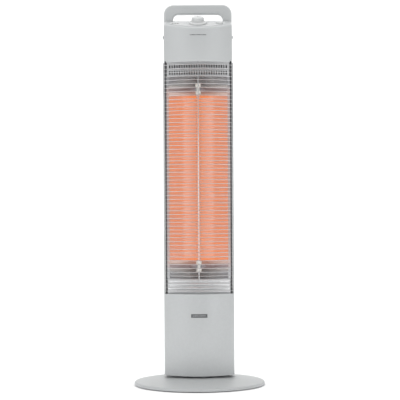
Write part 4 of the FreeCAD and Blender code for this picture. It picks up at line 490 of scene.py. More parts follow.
def smoked_lens(name):
    """Dark translucent-looking plastic over the indicators."""
    material, tree, shader = new_material(name)
    haze = noise(tree, object_coordinates(tree), 300.0, 2.0)
    smoke = mix_colour(tree, haze, (0.10, 0.10, 0.095, 1), (0.16, 0.15, 0.14, 1))
    link(tree, smoke, shader.inputs["Base Color"])
    link(tree, steps(tree, haze, 0.3, 0.7, 0.12, 0.2), shader.inputs["Roughness"])
    return material


# ---------------------------------------------------------------- finishes by name

def casing_paint():
    return finish("Silver casing paint", satin_moulding, colours().casing)


def base_paint():
    return finish("Base paint", satin_moulding, colours().base, roughness=0.46, dust=0.2)


def control_plastic():
    return finish("Control plastic", plain_moulding, colours().control, roughness=0.42)


def panel_film():
    return finish("Panel film", satin_moulding, colours().film, roughness=0.34, metallic=0.1, fleck=0.1)


def panel_ink():
    return finish("Panel ink", plain_moulding, (0.09, 0.095, 0.10), roughness=0.45)


def bright_sheet():
    return finish("Bright sheet", bright_metal, colours().bright, roughness=0.14,
                  stretch=(30.0, 30.0, 1500.0))


def plated_wire():
    return finish("Plated wire", bright_metal, (0.74, 0.74, 0.75), roughness=0.12,
                  stretch=(600.0, 600.0, 600.0), amount=0.2)


def zinc_sheet():
    return finish("Zinc sheet", bright_metal, (0.56, 0.57, 0.60), roughness=0.32, stretch=(90.0, 90.0, 90.0),
                  amount=0.4, height=0.1)


def screw_steel():
    return finish("Screw steel", bright_metal, (0.60, 0.60, 0.61), roughness=0.26,
                  stretch=(400.0, 400.0, 400.0), amount=0.35)


# Black painted sheet steel; on the frame rails this black is painted shade.
def black_sheet_and_painted_shade():
    return finish("Black sheet", painted_sheet, colours().dark)


def black_moulding():
    return finish("Black moulding", plain_moulding, colours().dark, roughness=0.5)


def natural_nylon():
    return finish("Natural nylon", plain_moulding, (0.72, 0.70, 0.64), roughness=0.38, grain=0.15)


def foot_rubber():
    return finish("Foot rubber", plain_moulding, (0.022, 0.022, 0.022), roughness=0.8, grain=0.5, dust=0.3)


def lead_sleeve():
    return finish("Lead sleeve", sleeved_lead, (0.62, 0.60, 0.56))


def laminate():
    return finish("Circuit laminate", circuit_laminate)


# ---------------------------------------------------------------- mesh helpers

def object_from(name, mesh, material=None):
    made = bpy.data.objects.new(name, mesh)
    bpy.context.scene.collection.objects.link(made)
    if material is not None:
        mesh.materials.clear()
        mesh.materials.append(material)
    return made


def mesh_from(name, vertices, faces, material=None, smooth=True):
    mesh = bpy.data.meshes.new(name)
    mesh.from_pydata([tuple(vertex) for vertex in vertices], [], faces)
    mesh.validate()
    made = object_from(name, mesh, material)
    tidy(made, smooth)
    return made


def tidy(piece, smooth=True, angle=35.0, recalculate=True):
    """Welds doubles, turns faces outwards and shades by angle."""
    work = bmesh.new()
    work.from_mesh(piece.data)
    bmesh.ops.remove_doubles(work, verts=work.verts, dist=1e-6)
    if recalculate:
        bmesh.ops.recalc_face_normals(work, faces=work.faces)
    limit = math.radians(angle)
    for face in work.faces:
        face.smooth = smooth
    for edge in work.edges:
        edge.smooth = edge.is_manifold and edge.calc_face_angle(0.0) < limit
    work.to_mesh(piece.data)
    work.free()
    return piece


def apply_modifiers(piece):
    """Bakes the modifiers into the piece's own mesh."""
    graph = bpy.context.evaluated_depsgraph_get()
    graph.update()
    mesh = bpy.data.meshes.new_from_object(piece.evaluated_get(graph))
    piece.modifiers.clear()
    old = piece.data
    piece.data = mesh
    if old.users == 0:
        bpy.data.meshes.remove(old)
    return piece


def soften(piece, width, angle=30.0, segments=2):
    """A small rounding on the edges that are sharper than the angle."""
    modifier = piece.modifiers.new("Soft edges", "BEVEL")
    modifier.width = width
    modifier.segments = segments
    modifier.limit_method = "ANGLE"
    modifier.angle_limit = math.radians(angle)
    modifier.use_clamp_overlap = True
    modifier.harden_normals = False
    return apply_modifiers(piece)


def refined(name, node, material, edge=0.0, angle=30.0):
    """A welded copy of a CAD part with its flat faces joined, its edges softened and smooth shading."""
    mesh = NODES[node].data.copy()
    mesh.name = name
    piece = object_from(name, mesh, material)
    work = bmesh.new()
    work.from_mesh(mesh)
    bmesh.ops.remove_doubles(work, verts=work.verts, dist=2e-6)
    bmesh.ops.dissolve_limit(work, angle_limit=math.radians(0.5), verts=work.verts, edges=work.edges)
    work.to_mesh(mesh)
    work.free()
    if edge:
        soften(piece, edge, angle)
    tidy(piece, angle=angle, recalculate=False)
    return piece


def stand_in(piece, body, slot, *nodes):
    """Hands a finished piece to the frame."""
    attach(piece, body)
    if nodes:
        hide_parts(*nodes)
    return piece


BLOCK_FACES = [(0, 1, 3, 2), (4, 6, 7, 5), (0, 4, 5, 1), (2, 3, 7, 6), (0, 2, 6, 4), (1, 5, 7, 3)]


def block(name, x_range, y_range, z_range, place, material, smooth=True):
    """A box between the ranges, put in place by the matrix."""
    vertices = [place @ Vector((x, y, z)) for x in x_range for y in y_range for z in z_range]
    return mesh_from(name, vertices, BLOCK_FACES, material, smooth)


def make_sheet(piece, thickness, weld, angle):
    """Welds an open surface, turns it to face the front and gives it a thickness behind."""
    work = bmesh.new()
    work.from_mesh(piece.data)
    bmesh.ops.remove_doubles(work, verts=work.verts, dist=weld)
    for face in work.faces:
        face.normal_update()
        if face.normal.y > 0:
            face.normal_flip()
    work.to_mesh(piece.data)
    work.free()
    wall = piece.modifiers.new("Sheet", "SOLIDIFY")
    wall.thickness = thickness
    wall.offset = -1.0
    return tidy(apply_modifiers(piece), angle=angle, recalculate=False)


def repaint(material, *sources):
    """CAD parts keep their shapes and get a finish."""
    for source in sources:
        NODES[source].data.materials.clear()
        NODES[source].data.materials.append(material)


def arc_points(centre, radius, start, stop, count):
    """Points on an arc in plan, from the start angle to the stop angle in radians."""
    turns = [start + (stop - start) * n / count for n in range(count + 1)]
    return [Vector((centre[0] + radius * math.cos(turn), centre[1] + radius * math.sin(turn), 0))
            for turn in turns]


def bow_path(inset, back, bow_steps=48, corner_steps=10):
    """The bowed front of the casing in plan, from the right side round to the left."""
    bow = sizes().bow_radius
    corner = sizes().corner_radius
    centre_y = bow - COLUMN_REACH
    corner_x = COLUMN_HALF - corner
    corner_y = centre_y - math.sqrt((bow - corner) ** 2 - corner_x ** 2)
    meet = math.atan2(corner_y - centre_y, corner_x)
    points = [Vector((COLUMN_HALF - inset, back, 0))]
    points += arc_points((corner_x, corner_y), corner - inset, 0.0, meet, corner_steps)
    points += arc_points((0, centre_y), bow - inset, meet, -math.pi - meet, bow_steps)[1:]
    points += arc_points((-corner_x, corner_y), corner - inset, -math.pi - meet, -math.pi, corner_steps)[1:]
    points.append(Vector((inset - COLUMN_HALF, back, 0)))
    return points


def curve_object(name, points, closed=False):
    curve = bpy.data.curves.new(name, "CURVE")
    curve.dimensions = "3D"
    spline = curve.splines.new("POLY")
    spline.points.add(len(points) - 1)
    for spot, point in zip(spline.points, points):
        spot.co = (*point, 1.0)
    spline.use_cyclic_u = closed
    made = bpy.data.objects.new(name, curve)
    bpy.context.scene.collection.objects.link(made)
    return made


ON_AXIS = 1e-7


def lathe(name, profile, centre, material, segments=96, tilt=None):
    """A turned piece: the profile's (radius, height) points are spun about the centre's vertical."""
    vertices, faces = [], []
    rings = []
    for radius, height in profile:
        if radius < ON_AXIS:
            rings.append([len(vertices)])
            vertices.append(Vector((0, 0, height)))
            continue
        ring = []
        for n in range(segments):
            turn = 2 * math.pi * n / segments
            ring.append(len(vertices))
            vertices.append(Vector((radius * math.cos(turn), radius * math.sin(turn), height)))
        rings.append(ring)
    pairs = list(zip(rings, rings[1:]))
    if profile[0][0] > ON_AXIS and profile[-1][0] > ON_AXIS:
        pairs.append((rings[-1], rings[0]))
    for under, over in pairs:
        for n in range(segments):
            after = (n + 1) % segments
            corners = (under[n % len(under)], under[after % len(under)],
                       over[after % len(over)], over[n % len(over)])
            face = list(dict.fromkeys(corners))
            if len(face) > 2:
                faces.append(face)
    place = Matrix.Translation(centre) @ (tilt or Matrix.Identity(4))
    return mesh_from(name, [place @ vertex for vertex in vertices], faces, material)


# ---------------------------------------------------------------- geometry node helpers

def grow_tree(name, inputs, build):
    """A geometry node tree with named inputs; build(tree, inlet) returns its geometry socket."""
    tree = bpy.data.node_groups.new(name, "GeometryNodeTree")
    tree.interface.new_socket(name="Geometry", in_out="INPUT", socket_type="NodeSocketGeometry")
    for label, kind, default in inputs:
        socket = tree.interface.new_socket(name=label, in_out="INPUT", socket_type=kind)
        if default is not None:
            socket.default_value = default
    tree.interface.new_socket(name="Material", in_out="INPUT", socket_type="NodeSocketMaterial")
    tree.interface.new_socket(name="Geometry", in_out="OUTPUT", socket_type="NodeSocketGeometry")
    inlet = tree.nodes.new("NodeGroupInput")
    outlet = tree.nodes.new("NodeGroupOutput")
    grown = build(tree, inlet.outputs)
    real = tree.nodes.new("GeometryNodeRealizeInstances")
    painted = tree.nodes.new("GeometryNodeSetMaterial")
    link(tree, grown, real.inputs["Geometry"])
    link(tree, real.outputs["Geometry"], painted.inputs["Geometry"])
    link(tree, inlet.outputs["Material"], painted.inputs["Material"])
    link(tree, painted.outputs["Geometry"], outlet.inputs["Geometry"])
    return tree


def grow(name, seed_object, tree, material, **values):
    """Runs the tree on the seed object and keeps the result as a plain mesh piece."""
    modifier = seed_object.modifiers.new(name, "NODES")
    modifier.node_group = tree
    values["Material"] = material
    for item in tree.interface.items_tree:
        if item.item_type == "SOCKET" and item.in_out == "INPUT" and item.name in values:
            modifier[item.identifier] = values[item.name]
    graph = bpy.context.evaluated_depsgraph_get()
    graph.update()
    mesh = bpy.data.meshes.new_from_object(seed_object.evaluated_get(graph))
    mesh.name = name
    seed_data = seed_object.data
    seed_object.modifiers.clear()
    bpy.data.objects.remove(seed_object)
    if seed_data.users == 0 and isinstance(seed_data, bpy.types.Mesh):
        bpy.data.meshes.remove(seed_data)
    if not mesh.materials:
        mesh.materials.append(material)
    return object_from(name, mesh)


def empty_seed(name):
    return object_from(name, bpy.data.meshes.new(name))




def wire_tree():
    """Guard wires: one bowed path given a round section and repeated upwards."""
    def build(tree, inlet):
        section = make_node(tree, "GeometryNodeCurvePrimitiveCircle", Resolution=inlet["Section Sides"],
                            Radius=inlet["Wire Radius"])
        wire = make_node(tree, "GeometryNodeCurveToMesh", Curve=inlet["Geometry"],
                         Profile_Curve=section.outputs["Curve"], Fill_Caps=True)
        step = make_node(tree, "ShaderNodeCombineXYZ", Z=inlet["Pitch"])
        ladder = make_node(tree, "GeometryNodeMeshLine", Count=inlet["Count"], Offset=step.outputs["Vector"])
        copies = make_node(tree, "GeometryNodeInstanceOnPoints", Points=ladder.outputs["Mesh"],
                           Instance=wire.outputs["Mesh"])
        return copies.outputs["Instances"]

    return grow_tree("Guard wires", [("Wire Radius", FLOAT, 0.001), ("Pitch", FLOAT, 0.01),
                                     ("Count", INTEGER, 10), ("Section Sides", INTEGER, 10)], build)


def spiral_tree():
    """A flat ribbon or round wire wound into a helix."""
    def build(tree, inlet):
        helix = make_node(tree, "GeometryNodeCurveSpiral", Resolution=inlet["Steps Per Turn"],
                          Rotations=inlet["Turns"], Height=inlet["Height"], Start_Radius=inlet["Radius"],
                          End_Radius=inlet["Radius"])
        upright = make_node(tree, "GeometryNodeSetCurveNormal", mode="Z_UP", Curve=helix.outputs["Curve"])
        section = make_node(tree, "GeometryNodeCurvePrimitiveQuadrilateral", Width=inlet["Ribbon Width"],
                            Height=inlet["Ribbon Thickness"])
        ribbon = make_node(tree, "GeometryNodeCurveToMesh", Curve=upright.outputs["Curve"],
                           Profile_Curve=section.outputs["Curve"], Fill_Caps=True)
        shift = make_node(tree, "ShaderNodeCombineXYZ", Y=inlet["Place Y"], Z=inlet["Place Z"])
        moved = make_node(tree, "GeometryNodeTransform", Geometry=ribbon.outputs["Mesh"],
                          Translation=shift.outputs["Vector"])
        return moved.outputs["Geometry"]

    return grow_tree("Helix", [
        ("Steps Per Turn", INTEGER, 24), ("Turns", FLOAT, 10.0), ("Height", FLOAT, 0.1),
        ("Radius", FLOAT, 0.003), ("Ribbon Width", FLOAT, 0.004), ("Ribbon Thickness", FLOAT, 0.0004),
        ("Place Y", FLOAT, 0.0), ("Place Z", FLOAT, 0.0),
    ], build)


def scatter_tree():
    """A copy of one part at each point, turned as the point's own attribute says."""
    def build(tree, inlet):
        part = make_node(tree, "GeometryNodeObjectInfo", Object=inlet["Part"])
        turn = make_node(tree, "GeometryNodeInputNamedAttribute", data_type="FLOAT_VECTOR", Name="turn")
        size = make_node(tree, "GeometryNodeInputNamedAttribute", data_type="FLOAT", Name="size")
        copies = make_node(tree, "GeometryNodeInstanceOnPoints", Points=inlet["Geometry"],
                           Instance=part.outputs["Geometry"], Rotation=turn.outputs["Attribute"],
                           Scale=size.outputs["Attribute"])
        return copies.outputs["Instances"]

    return grow_tree("Scatter", [("Part", "NodeSocketObject", None)], build)


def trough_tree():
    """Parabolic trough: a flat grid whose depth follows the square of the distance from the middle."""
    def build(tree, inlet):
        grid = make_node(tree, "GeometryNodeMeshGrid", Vertices_X=inlet["Columns"], Vertices_Y=inlet["Rows"],
                         Size_X=inlet["Width"], Size_Y=inlet["Height"])
        place = make_node(tree, "GeometryNodeInputPosition")
        split = make_node(tree, "ShaderNodeSeparateXYZ", Vector=place.outputs["Position"])
        squared = maths(tree, "MULTIPLY", split.outputs["X"], split.outputs["X"])
        depth = maths(tree, "DIVIDE", squared, maths(tree, "MULTIPLY", inlet["Focal"], 4.0))
        spot = make_node(tree, "ShaderNodeCombineXYZ", X=split.outputs["X"],
                         Y=maths(tree, "SUBTRACT", inlet["Vertex Y"], depth),
                         Z=maths(tree, "ADD", split.outputs["Y"], inlet["Middle Z"]))
        bent = make_node(tree, "GeometryNodeSetPosition", Geometry=grid.outputs["Mesh"],
                         Position=spot.outputs["Vector"])
        return bent.outputs["Geometry"]

    return grow_tree("Parabolic trough", [
        ("Columns", INTEGER, 97), ("Rows", INTEGER, 41), ("Width", FLOAT, 0.147), ("Height", FLOAT, 0.5),
        ("Focal", FLOAT, 0.026), ("Vertex Y", FLOAT, 0.032), ("Middle Z", FLOAT, 0.5),
    ], build)


def spots_seed(name, spots):
    """A point cloud seed: each spot is a place, a turn and a size."""
    mesh = bpy.data.meshes.new(name)
    mesh.from_pydata([tuple(place) for place, _, _ in spots], [], [])
    mesh.attributes.new("turn", "FLOAT_VECTOR", "POINT")
    mesh.attributes.new("size", "FLOAT", "POINT")
    for n, (_, angles, scale) in enumerate(spots):
        mesh.attributes["turn"].data[n].vector = angles
        mesh.attributes["size"].data[n].value = scale
    return object_from(name, mesh)


def scattered(name, part, spots, material):
    """Copies of the part on the spots, as one mesh; the part itself is used up."""
    piece = grow(name, spots_seed(name + " spots", spots), scatter_tree(), material, Part=part)
    bpy.data.objects.remove(part)
    return piece


def join(name, pieces, material=None):
    """One piece out of several, with its place in its mesh."""
    work = bmesh.new()
    for piece in pieces:
        work.from_mesh(piece.data)
    mesh = bpy.data.meshes.new(name)
    work.to_mesh(mesh)
    work.free()
    kept = material or pieces[0].data.materials[0]
    for piece in pieces:
        bpy.data.objects.remove(piece)
    return object_from(name, mesh, kept)


# ---------------------------------------------------------------- operators

class HEATER_OT_stage(bpy.types.Operator):
    """Pale floor, soft studio light and the camera"""
    bl_idname = "heater.stage"
    bl_label = "Stage"

    def execute(self, context):
        self.make_floor()
        self.make_world(context.scene)
        self.make_lights()
        self.make_camera(context.scene)
        context.scene.view_settings.view_transform = "Standard"
        return {"FINISHED"}

    def make_floor(self):
        """A floor that runs back and sweeps up into a backdrop."""
        half, near, far, rise, sweep = 6.0, -6.0, 2.6, 5.0, 1.2
        path = [(near, 0.0), (far, 0.0)]
        path += [(far + sweep * math.sin(turn), sweep * (1 - math.cos(turn)))
                 for turn in (math.pi / 2 * n / 16 for n in range(1, 17))]
        path.append((far + sweep, rise))
        vertices = [(x, y, z - 0.0002) for y, z in path for x in (-half, half)]
        faces = [(n * 2, n * 2 + 1, n * 2 + 3, n * 2 + 2) for n in range(len(path) - 1)]
        material, tree, shader = new_material("Pale floor")
        place = object_coordinates(tree)
        tone = mix_colour(tree, noise(tree, place, 3.0, 4.0), (0.90, 0.90, 0.90, 1), (0.93, 0.93, 0.93, 1))
        link(tree, tone, shader.inputs["Base Color"])
        shader.inputs["Roughness"].default_value = 0.7
        shader.inputs["Specular IOR Level"].default_value = 0.2
        bump(tree, noise(tree, place, 400.0, 3.0), shader, 0.05)
        floor = mesh_from("Floor", vertices, faces, material)
        for face in floor.data.polygons:
            if face.normal.z < 0 or face.normal.y > 0.5:
                floor.data.flip_normals()
                break

    def make_world(self, scene):
        """A soft studio room: bright overhead and at the sides, dim in front to give metal contrast."""
        world = bpy.data.worlds.new("Studio")
        world.use_nodes = True
        scene.world = world
        tree = world.node_tree
        background = tree.nodes["Background"]
        coords = tree.nodes.new("ShaderNodeTexCoord")
        split = make_node(tree, "ShaderNodeSeparateXYZ", Vector=coords.outputs["Generated"])
        sideways = steps(tree, maths(tree, "ABSOLUTE", split.outputs["X"]), 0.15, 0.85, 0.0, 0.34)
        upward = steps(tree, split.outputs["Z"], -0.1, 0.9, 0.0, 0.30)
        value = maths(tree, "ADD", 0.32, maths(tree, "ADD", sideways, upward))
        shade = make_node(tree, "ShaderNodeCombineColor", Red=value, Green=value, Blue=value)
        path = tree.nodes.new("ShaderNodeLightPath")
        seen = mix_colour(tree, path.outputs["Is Camera Ray"], shade.outputs["Color"], (1, 1, 1, 1))
        link(tree, seen, background.inputs["Color"])
        background.inputs["Strength"].default_value = 1.0

    def make_lights(self):
        for name, place, aim, width, height, power in (
            ("Left softbox", (-2.3, -2.2, 1.3), (0, 0, 0.5), 1.4, 2.2, 30),
            ("Right softbox", (2.3, -2.4, 1.2), (0, 0, 0.5), 1.2, 2.2, 24),
            ("Top softbox", (0.0, -0.4, 3.0), (0, 0, 0.4), 2.2, 2.2, 26),
            ("Backdrop wash", (0.0, 1.0, 3.2), (0, 3.4, 0.6), 3.5, 1.0, 60),
        ):
            light = bpy.data.lights.new(name, "AREA")
            light.shape = "RECTANGLE"
            light.size = width
            light.size_y = height
            light.energy = power
            made = bpy.data.objects.new(name, light)
            made.location = place
            made.rotation_mode = "QUATERNION"
            made.rotation_quaternion = (Vector(aim) - Vector(place)).to_track_quat("-Z", "Y")
            made.visible_glossy = False
            made.visible_transmission = False
            bpy.context.scene.collection.objects.link(made)

    def make_camera(self, scene):
        """Level camera at the height of the guard's middle, a long lens well back."""
        camera = bpy.data.cameras.new("Camera")
        camera.sensor_width = 36.0
        camera.lens = 128.7
        camera.clip_end = 100.0
        made = bpy.data.objects.new("Camera", camera)
        made.location = (0.0033, -3.630, 0.4676)
        made.rotation_euler = (math.radians(90), math.radians(0.3), 0)
        scene.collection.objects.link(made)
        scene.camera = made


class HEATER_OT_casings(bpy.types.Operator):
    """Satin mouldings of the column, head and handle"""
    bl_idname = "heater.casings"
    bl_label = "Casings"

    def execute(self, context):
        paint = casing_paint()
        for name, source, edge in (
            ("Front_lower_casing", "lower_cover", 0.5 * MM),
            ("Rear_casing", "rear_shell", 0.5 * MM),
            ("Head_front_casing", "head_cover", 0.5 * MM),
            ("Head_rear_casing", "head_rear", 0.5 * MM),
            ("Handle_front_shell", "handle_front", 0.4 * MM),
            ("Handle_rear_shell", "handle_rear", 0.4 * MM),
            ("Side_cap_pair", "side_caps", 0.8 * MM),
        ):
            stand_in(refined(name, source, paint, edge), "column", "silver_casing", source)
        self.make_marks()
        return {"FINISHED"}

    def make_marks(self):
        """Plain bars in place of lettering: one row on the head, one on the lower badge."""
        face = finish("Badge face", plain_moulding, (0.11, 0.115, 0.12), roughness=0.3)
        badge = refined("Lower_badge", "badge_lower", face, 0.2 * MM)
        stand_in(badge, "column", "badge_grey", "badge_lower")
        level = low("head_cover", 2) + 66.5 * MM
        self.bar_row("Head_mark", 9, 41 * MM, 4.2 * MM, 1.9 * MM, level, 2.2 * MM, panel_ink())
        badge_level = middle("badge_lower").z
        self.bar_row("Badge_mark", 7, 32 * MM, 3.6 * MM, 1.1 * MM, badge_level, -0.6 * MM, bright_sheet())

    def bar_row(self, name, count, span, bar, height, level, inset, material):
        """Short bars that follow the bow, standing 0.15 mm off its face."""
        radius = sizes().bow_radius - inset
        centre_y = sizes().bow_radius - COLUMN_REACH
        proud = 0.15 * MM
        part = block(name + "_bar", (-bar / 2, bar / 2), (-proud, proud), (-height / 2, height / 2),
                     Matrix.Identity(4), material)
        spots = []
        for n in range(count):
            turn = (n / (count - 1) - 0.5) * (span - bar) / radius
            place = (radius * math.sin(turn), centre_y - radius * math.cos(turn), level)
            spots.append((place, (0, 0, turn), 1.0 if n % 3 else 0.8))
        piece = scattered(name, part, spots, material)
        stand_in(piece, "column", "badge_grey")


class HEATER_OT_base(bpy.types.Operator):
    """Round base with its feet and the swivel parts under the column"""
    bl_idname = "heater.base"
    bl_label = "Base"

    def execute(self, context):
        cover = refined("Base_dome", "base_cover", base_paint(), 0.4 * MM)
        stand_in(cover, "base", "base_finish", "base_cover")
        self.make_feet()
        self.make_spring()
        repaint(black_sheet_and_painted_shade(), "base_plate")
        repaint(zinc_sheet(), "swivel_post", "swing_yoke")
        repaint(natural_nylon(), "swivel_washer", "tip_plunger")
        repaint(black_moulding(), "tip_switch_housing")
        repaint(finish("Brass", bright_metal, (0.80, 0.58, 0.24), roughness=0.25), "tip_switch_contacts")
        repaint(lead_sleeve(), "base_leads")
        repaint(screw_steel(), "base_screws", "post_screws", "yoke_screws")
        return {"FINISHED"}

    def make_feet(self):
        """Rubber feet with a rounded rim and a moulded ring."""
        foot_high = high("base_feet", 2)
        radius = 11 * MM
        profile = [(0, 0.2 * MM), (radius * 0.45, 0.2 * MM), (radius * 0.5, 0), (radius * 0.85, 0),
                   (radius * 0.97, 0.4 * MM), (radius, 1.0 * MM), (radius, foot_high), (0, foot_high)]
        part = lathe("Foot", profile, Vector(), foot_rubber(), 48)
        plate_inset, foot_inset = 5.5 * MM, 30 * MM
        reach = high("base_plate", 0) + plate_inset - foot_inset
        spots = []
        for n in range(6):
            turn = math.radians(90 + 30 + 60 * n)
            spots.append(((reach * math.cos(turn), reach * math.sin(turn), 0), (0, 0, turn), 1.0))
        piece = tidy(scattered("Rubber_feet", part, spots, foot_rubber()))
        stand_in(piece, "base", "rubber_foot", "base_feet")

    def make_spring(self):
        place = middle("plunger_spring")
        wire = 0.5 * MM
        low_z = low("plunger_spring", 2)
        piece = grow("Plunger_spring_coil", empty_seed("spring seed"), spiral_tree(), screw_steel(), **{
            "Turns": 4.5, "Steps Per Turn": 20, "Height": high("plunger_spring", 2) - low_z - 2 * wire,
            "Radius": 4.4 * MM, "Ribbon Width": wire, "Ribbon Thickness": wire,
            "Place Y": place.y, "Place Z": low_z + wire,
        })
        stand_in(tidy(piece), "base", "spring_steel", "plunger_spring")


class HEATER_OT_guard(bpy.types.Operator):
    """Bowed guard wires with their uprights"""
    bl_idname = "heater.guard"
    bl_label = "Guard"

    def execute(self, context):
        data = sizes()
        wire = data.wire_radius
        inset = data.casing_wall + data.weld_depth - wire
        spare = (HEAD_BOTTOM - COVER_TOP - data.wire_pitch * (data.wire_count - 1)) / 2
        level = Vector((0, 0, COVER_TOP + spare))
        path = [point + level for point in bow_path(inset, -9 * MM, 40, 8)]
        piece = grow("Guard_wire_set", curve_object("guard path", path), wire_tree(), plated_wire(), **{
            "Wire Radius": wire, "Pitch": data.wire_pitch, "Count": data.wire_count, "Section Sides": 10,
        })
        stand_in(tidy(piece, angle=60), "column", "guard_chrome", "wire_guard")
        uprights = self.make_uprights()
        stand_in(tidy(uprights, angle=60), "column", "guard_chrome")
        return {"FINISHED"}

    def make_uprights(self):
        """A centre rod and two side rods behind the wires; the side rods run down into the casing."""
        data = sizes()
        rod = data.upright_radius
        setback = data.casing_wall + rod
        side_y = bow_path(0, 0, 2, 2)[1].y
        rods = []
        for n, (x, y, foot) in enumerate((
            (0, setback - COLUMN_REACH, COVER_TOP),
            (COLUMN_HALF - setback, side_y, low("wire_guard", 2)),
            (setback - COLUMN_HALF, side_y, low("wire_guard", 2)),
        )):
            profile = [(0, foot), (rod * 0.8, foot), (rod, foot + rod * 0.2), (rod, HEAD_BOTTOM),
                       (0, HEAD_BOTTOM)]
            rods.append(lathe(f"upright {n}", profile, Vector((x, y, 0)), plated_wire(), 20))
        return join("Guard_upright_set", rods)


class HEATER_OT_reflector(bpy.types.Operator):
    """Parabolic reflector with its flanges and end plates"""
    bl_idname = "heater.reflector"
    bl_label = "Reflector"

    def execute(self, context):
        # The mirror finish carries the painted glow reflection as emission.
        mirror = finish("Reflector mirror", reflector_mirror_with_painted_glow, colours().bright)
        sheet = sizes().sheet
        vertex_y = high("reflector", 1) - sheet
        depth = vertex_y - MOUTH_Y
        mouth = high("reflector_ends", 0)
        focal = mouth ** 2 / (4 * depth)
        height = REFLECTOR_HIGH - REFLECTOR_LOW
        trough = grow("trough", empty_seed("trough seed"), trough_tree(), mirror, **{
            "Columns": 121, "Rows": 33, "Width": 2 * mouth, "Height": height, "Focal": focal,
            "Vertex Y": vertex_y, "Middle Z": REFLECTOR_LOW + height / 2,
        })
        edge = high("reflector", 0)
        strips = [trough]
        for side in (-1, 1):
            corners = [(side * x, MOUTH_Y, z) for z in (REFLECTOR_LOW, REFLECTOR_HIGH) for x in (mouth, edge)]
            strips.append(mesh_from(f"flange {side}", corners, [(0, 1, 3, 2)], mirror))
        piece = join("Reflector_trough", strips, mirror)
        make_sheet(piece, sheet * 0.9, 2e-5, 25)
        stand_in(piece, "column", "bright_reflector", "reflector")
        ends = refined("Reflector_end_pair", "reflector_ends", mirror)
        stand_in(ends, "column", "bright_reflector", "reflector_ends")
        return {"FINISHED"}


class HEATER_OT_tube(bpy.types.Operator):
    """Quartz tube, glowing spiral, ceramic caps and clips"""
    bl_idname = "heater.tube"
    bl_label = "Heater tube"

    def execute(self, context):
        radius = high("heater_tube", 0)
        wall = 1.0 * MM
        bottom, top = low("heater_tube", 2), high("heater_tube", 2)
        profile = [(radius, bottom), (radius, top), (radius - wall, top), (radius - wall, bottom)]
        tube = lathe("Quartz_tube", profile, Vector((0, TUBE_Y, 0)), finish("Quartz", clear_quartz), 64)
        stand_in(tube, "column", "quartz", "heater_tube")
        self.make_spiral()
        ceramic = finish("Steatite", unglazed_ceramic)
        caps = refined("Ceramic_tube_caps", "tube_caps", ceramic, 0.5 * MM)
        stand_in(caps, "column", "ceramic_white", "tube_caps")
        repaint(zinc_sheet(), "tube_clips")
        return {"FINISHED"}

    def make_spiral(self):
        glow = finish("Glowing graphite", glowing_graphite)
        radius = 3.3 * MM
        tail = 15 * MM
        start, stop = GLOW_LOW + tail, GLOW_HIGH - tail
        spiral = grow("spiral", empty_seed("spiral seed"), spiral_tree(), glow, **{
            "Turns": float(sizes().spiral_turns), "Steps Per Turn": 20, "Height": stop - start,
            "Radius": radius, "Ribbon Width": sizes().spiral_width, "Ribbon Thickness": 0.4 * MM,
            "Place Y": TUBE_Y, "Place Z": start,
        })
        tails = []
        for n, (under, over) in enumerate(((GLOW_LOW, start + 2 * MM), (stop - 2 * MM, GLOW_HIGH))):
            profile = [(0, under), (0.9 * MM, under), (0.9 * MM, over), (0, over)]
            tails.append(lathe(f"tail {n}", profile, Vector((0, TUBE_Y, 0)), glow, 16))
        piece = join("Heating_spiral", [spiral] + tails, glow)
        stand_in(tidy(piece, recalculate=False), "column", "glowing_element", "heater_element")


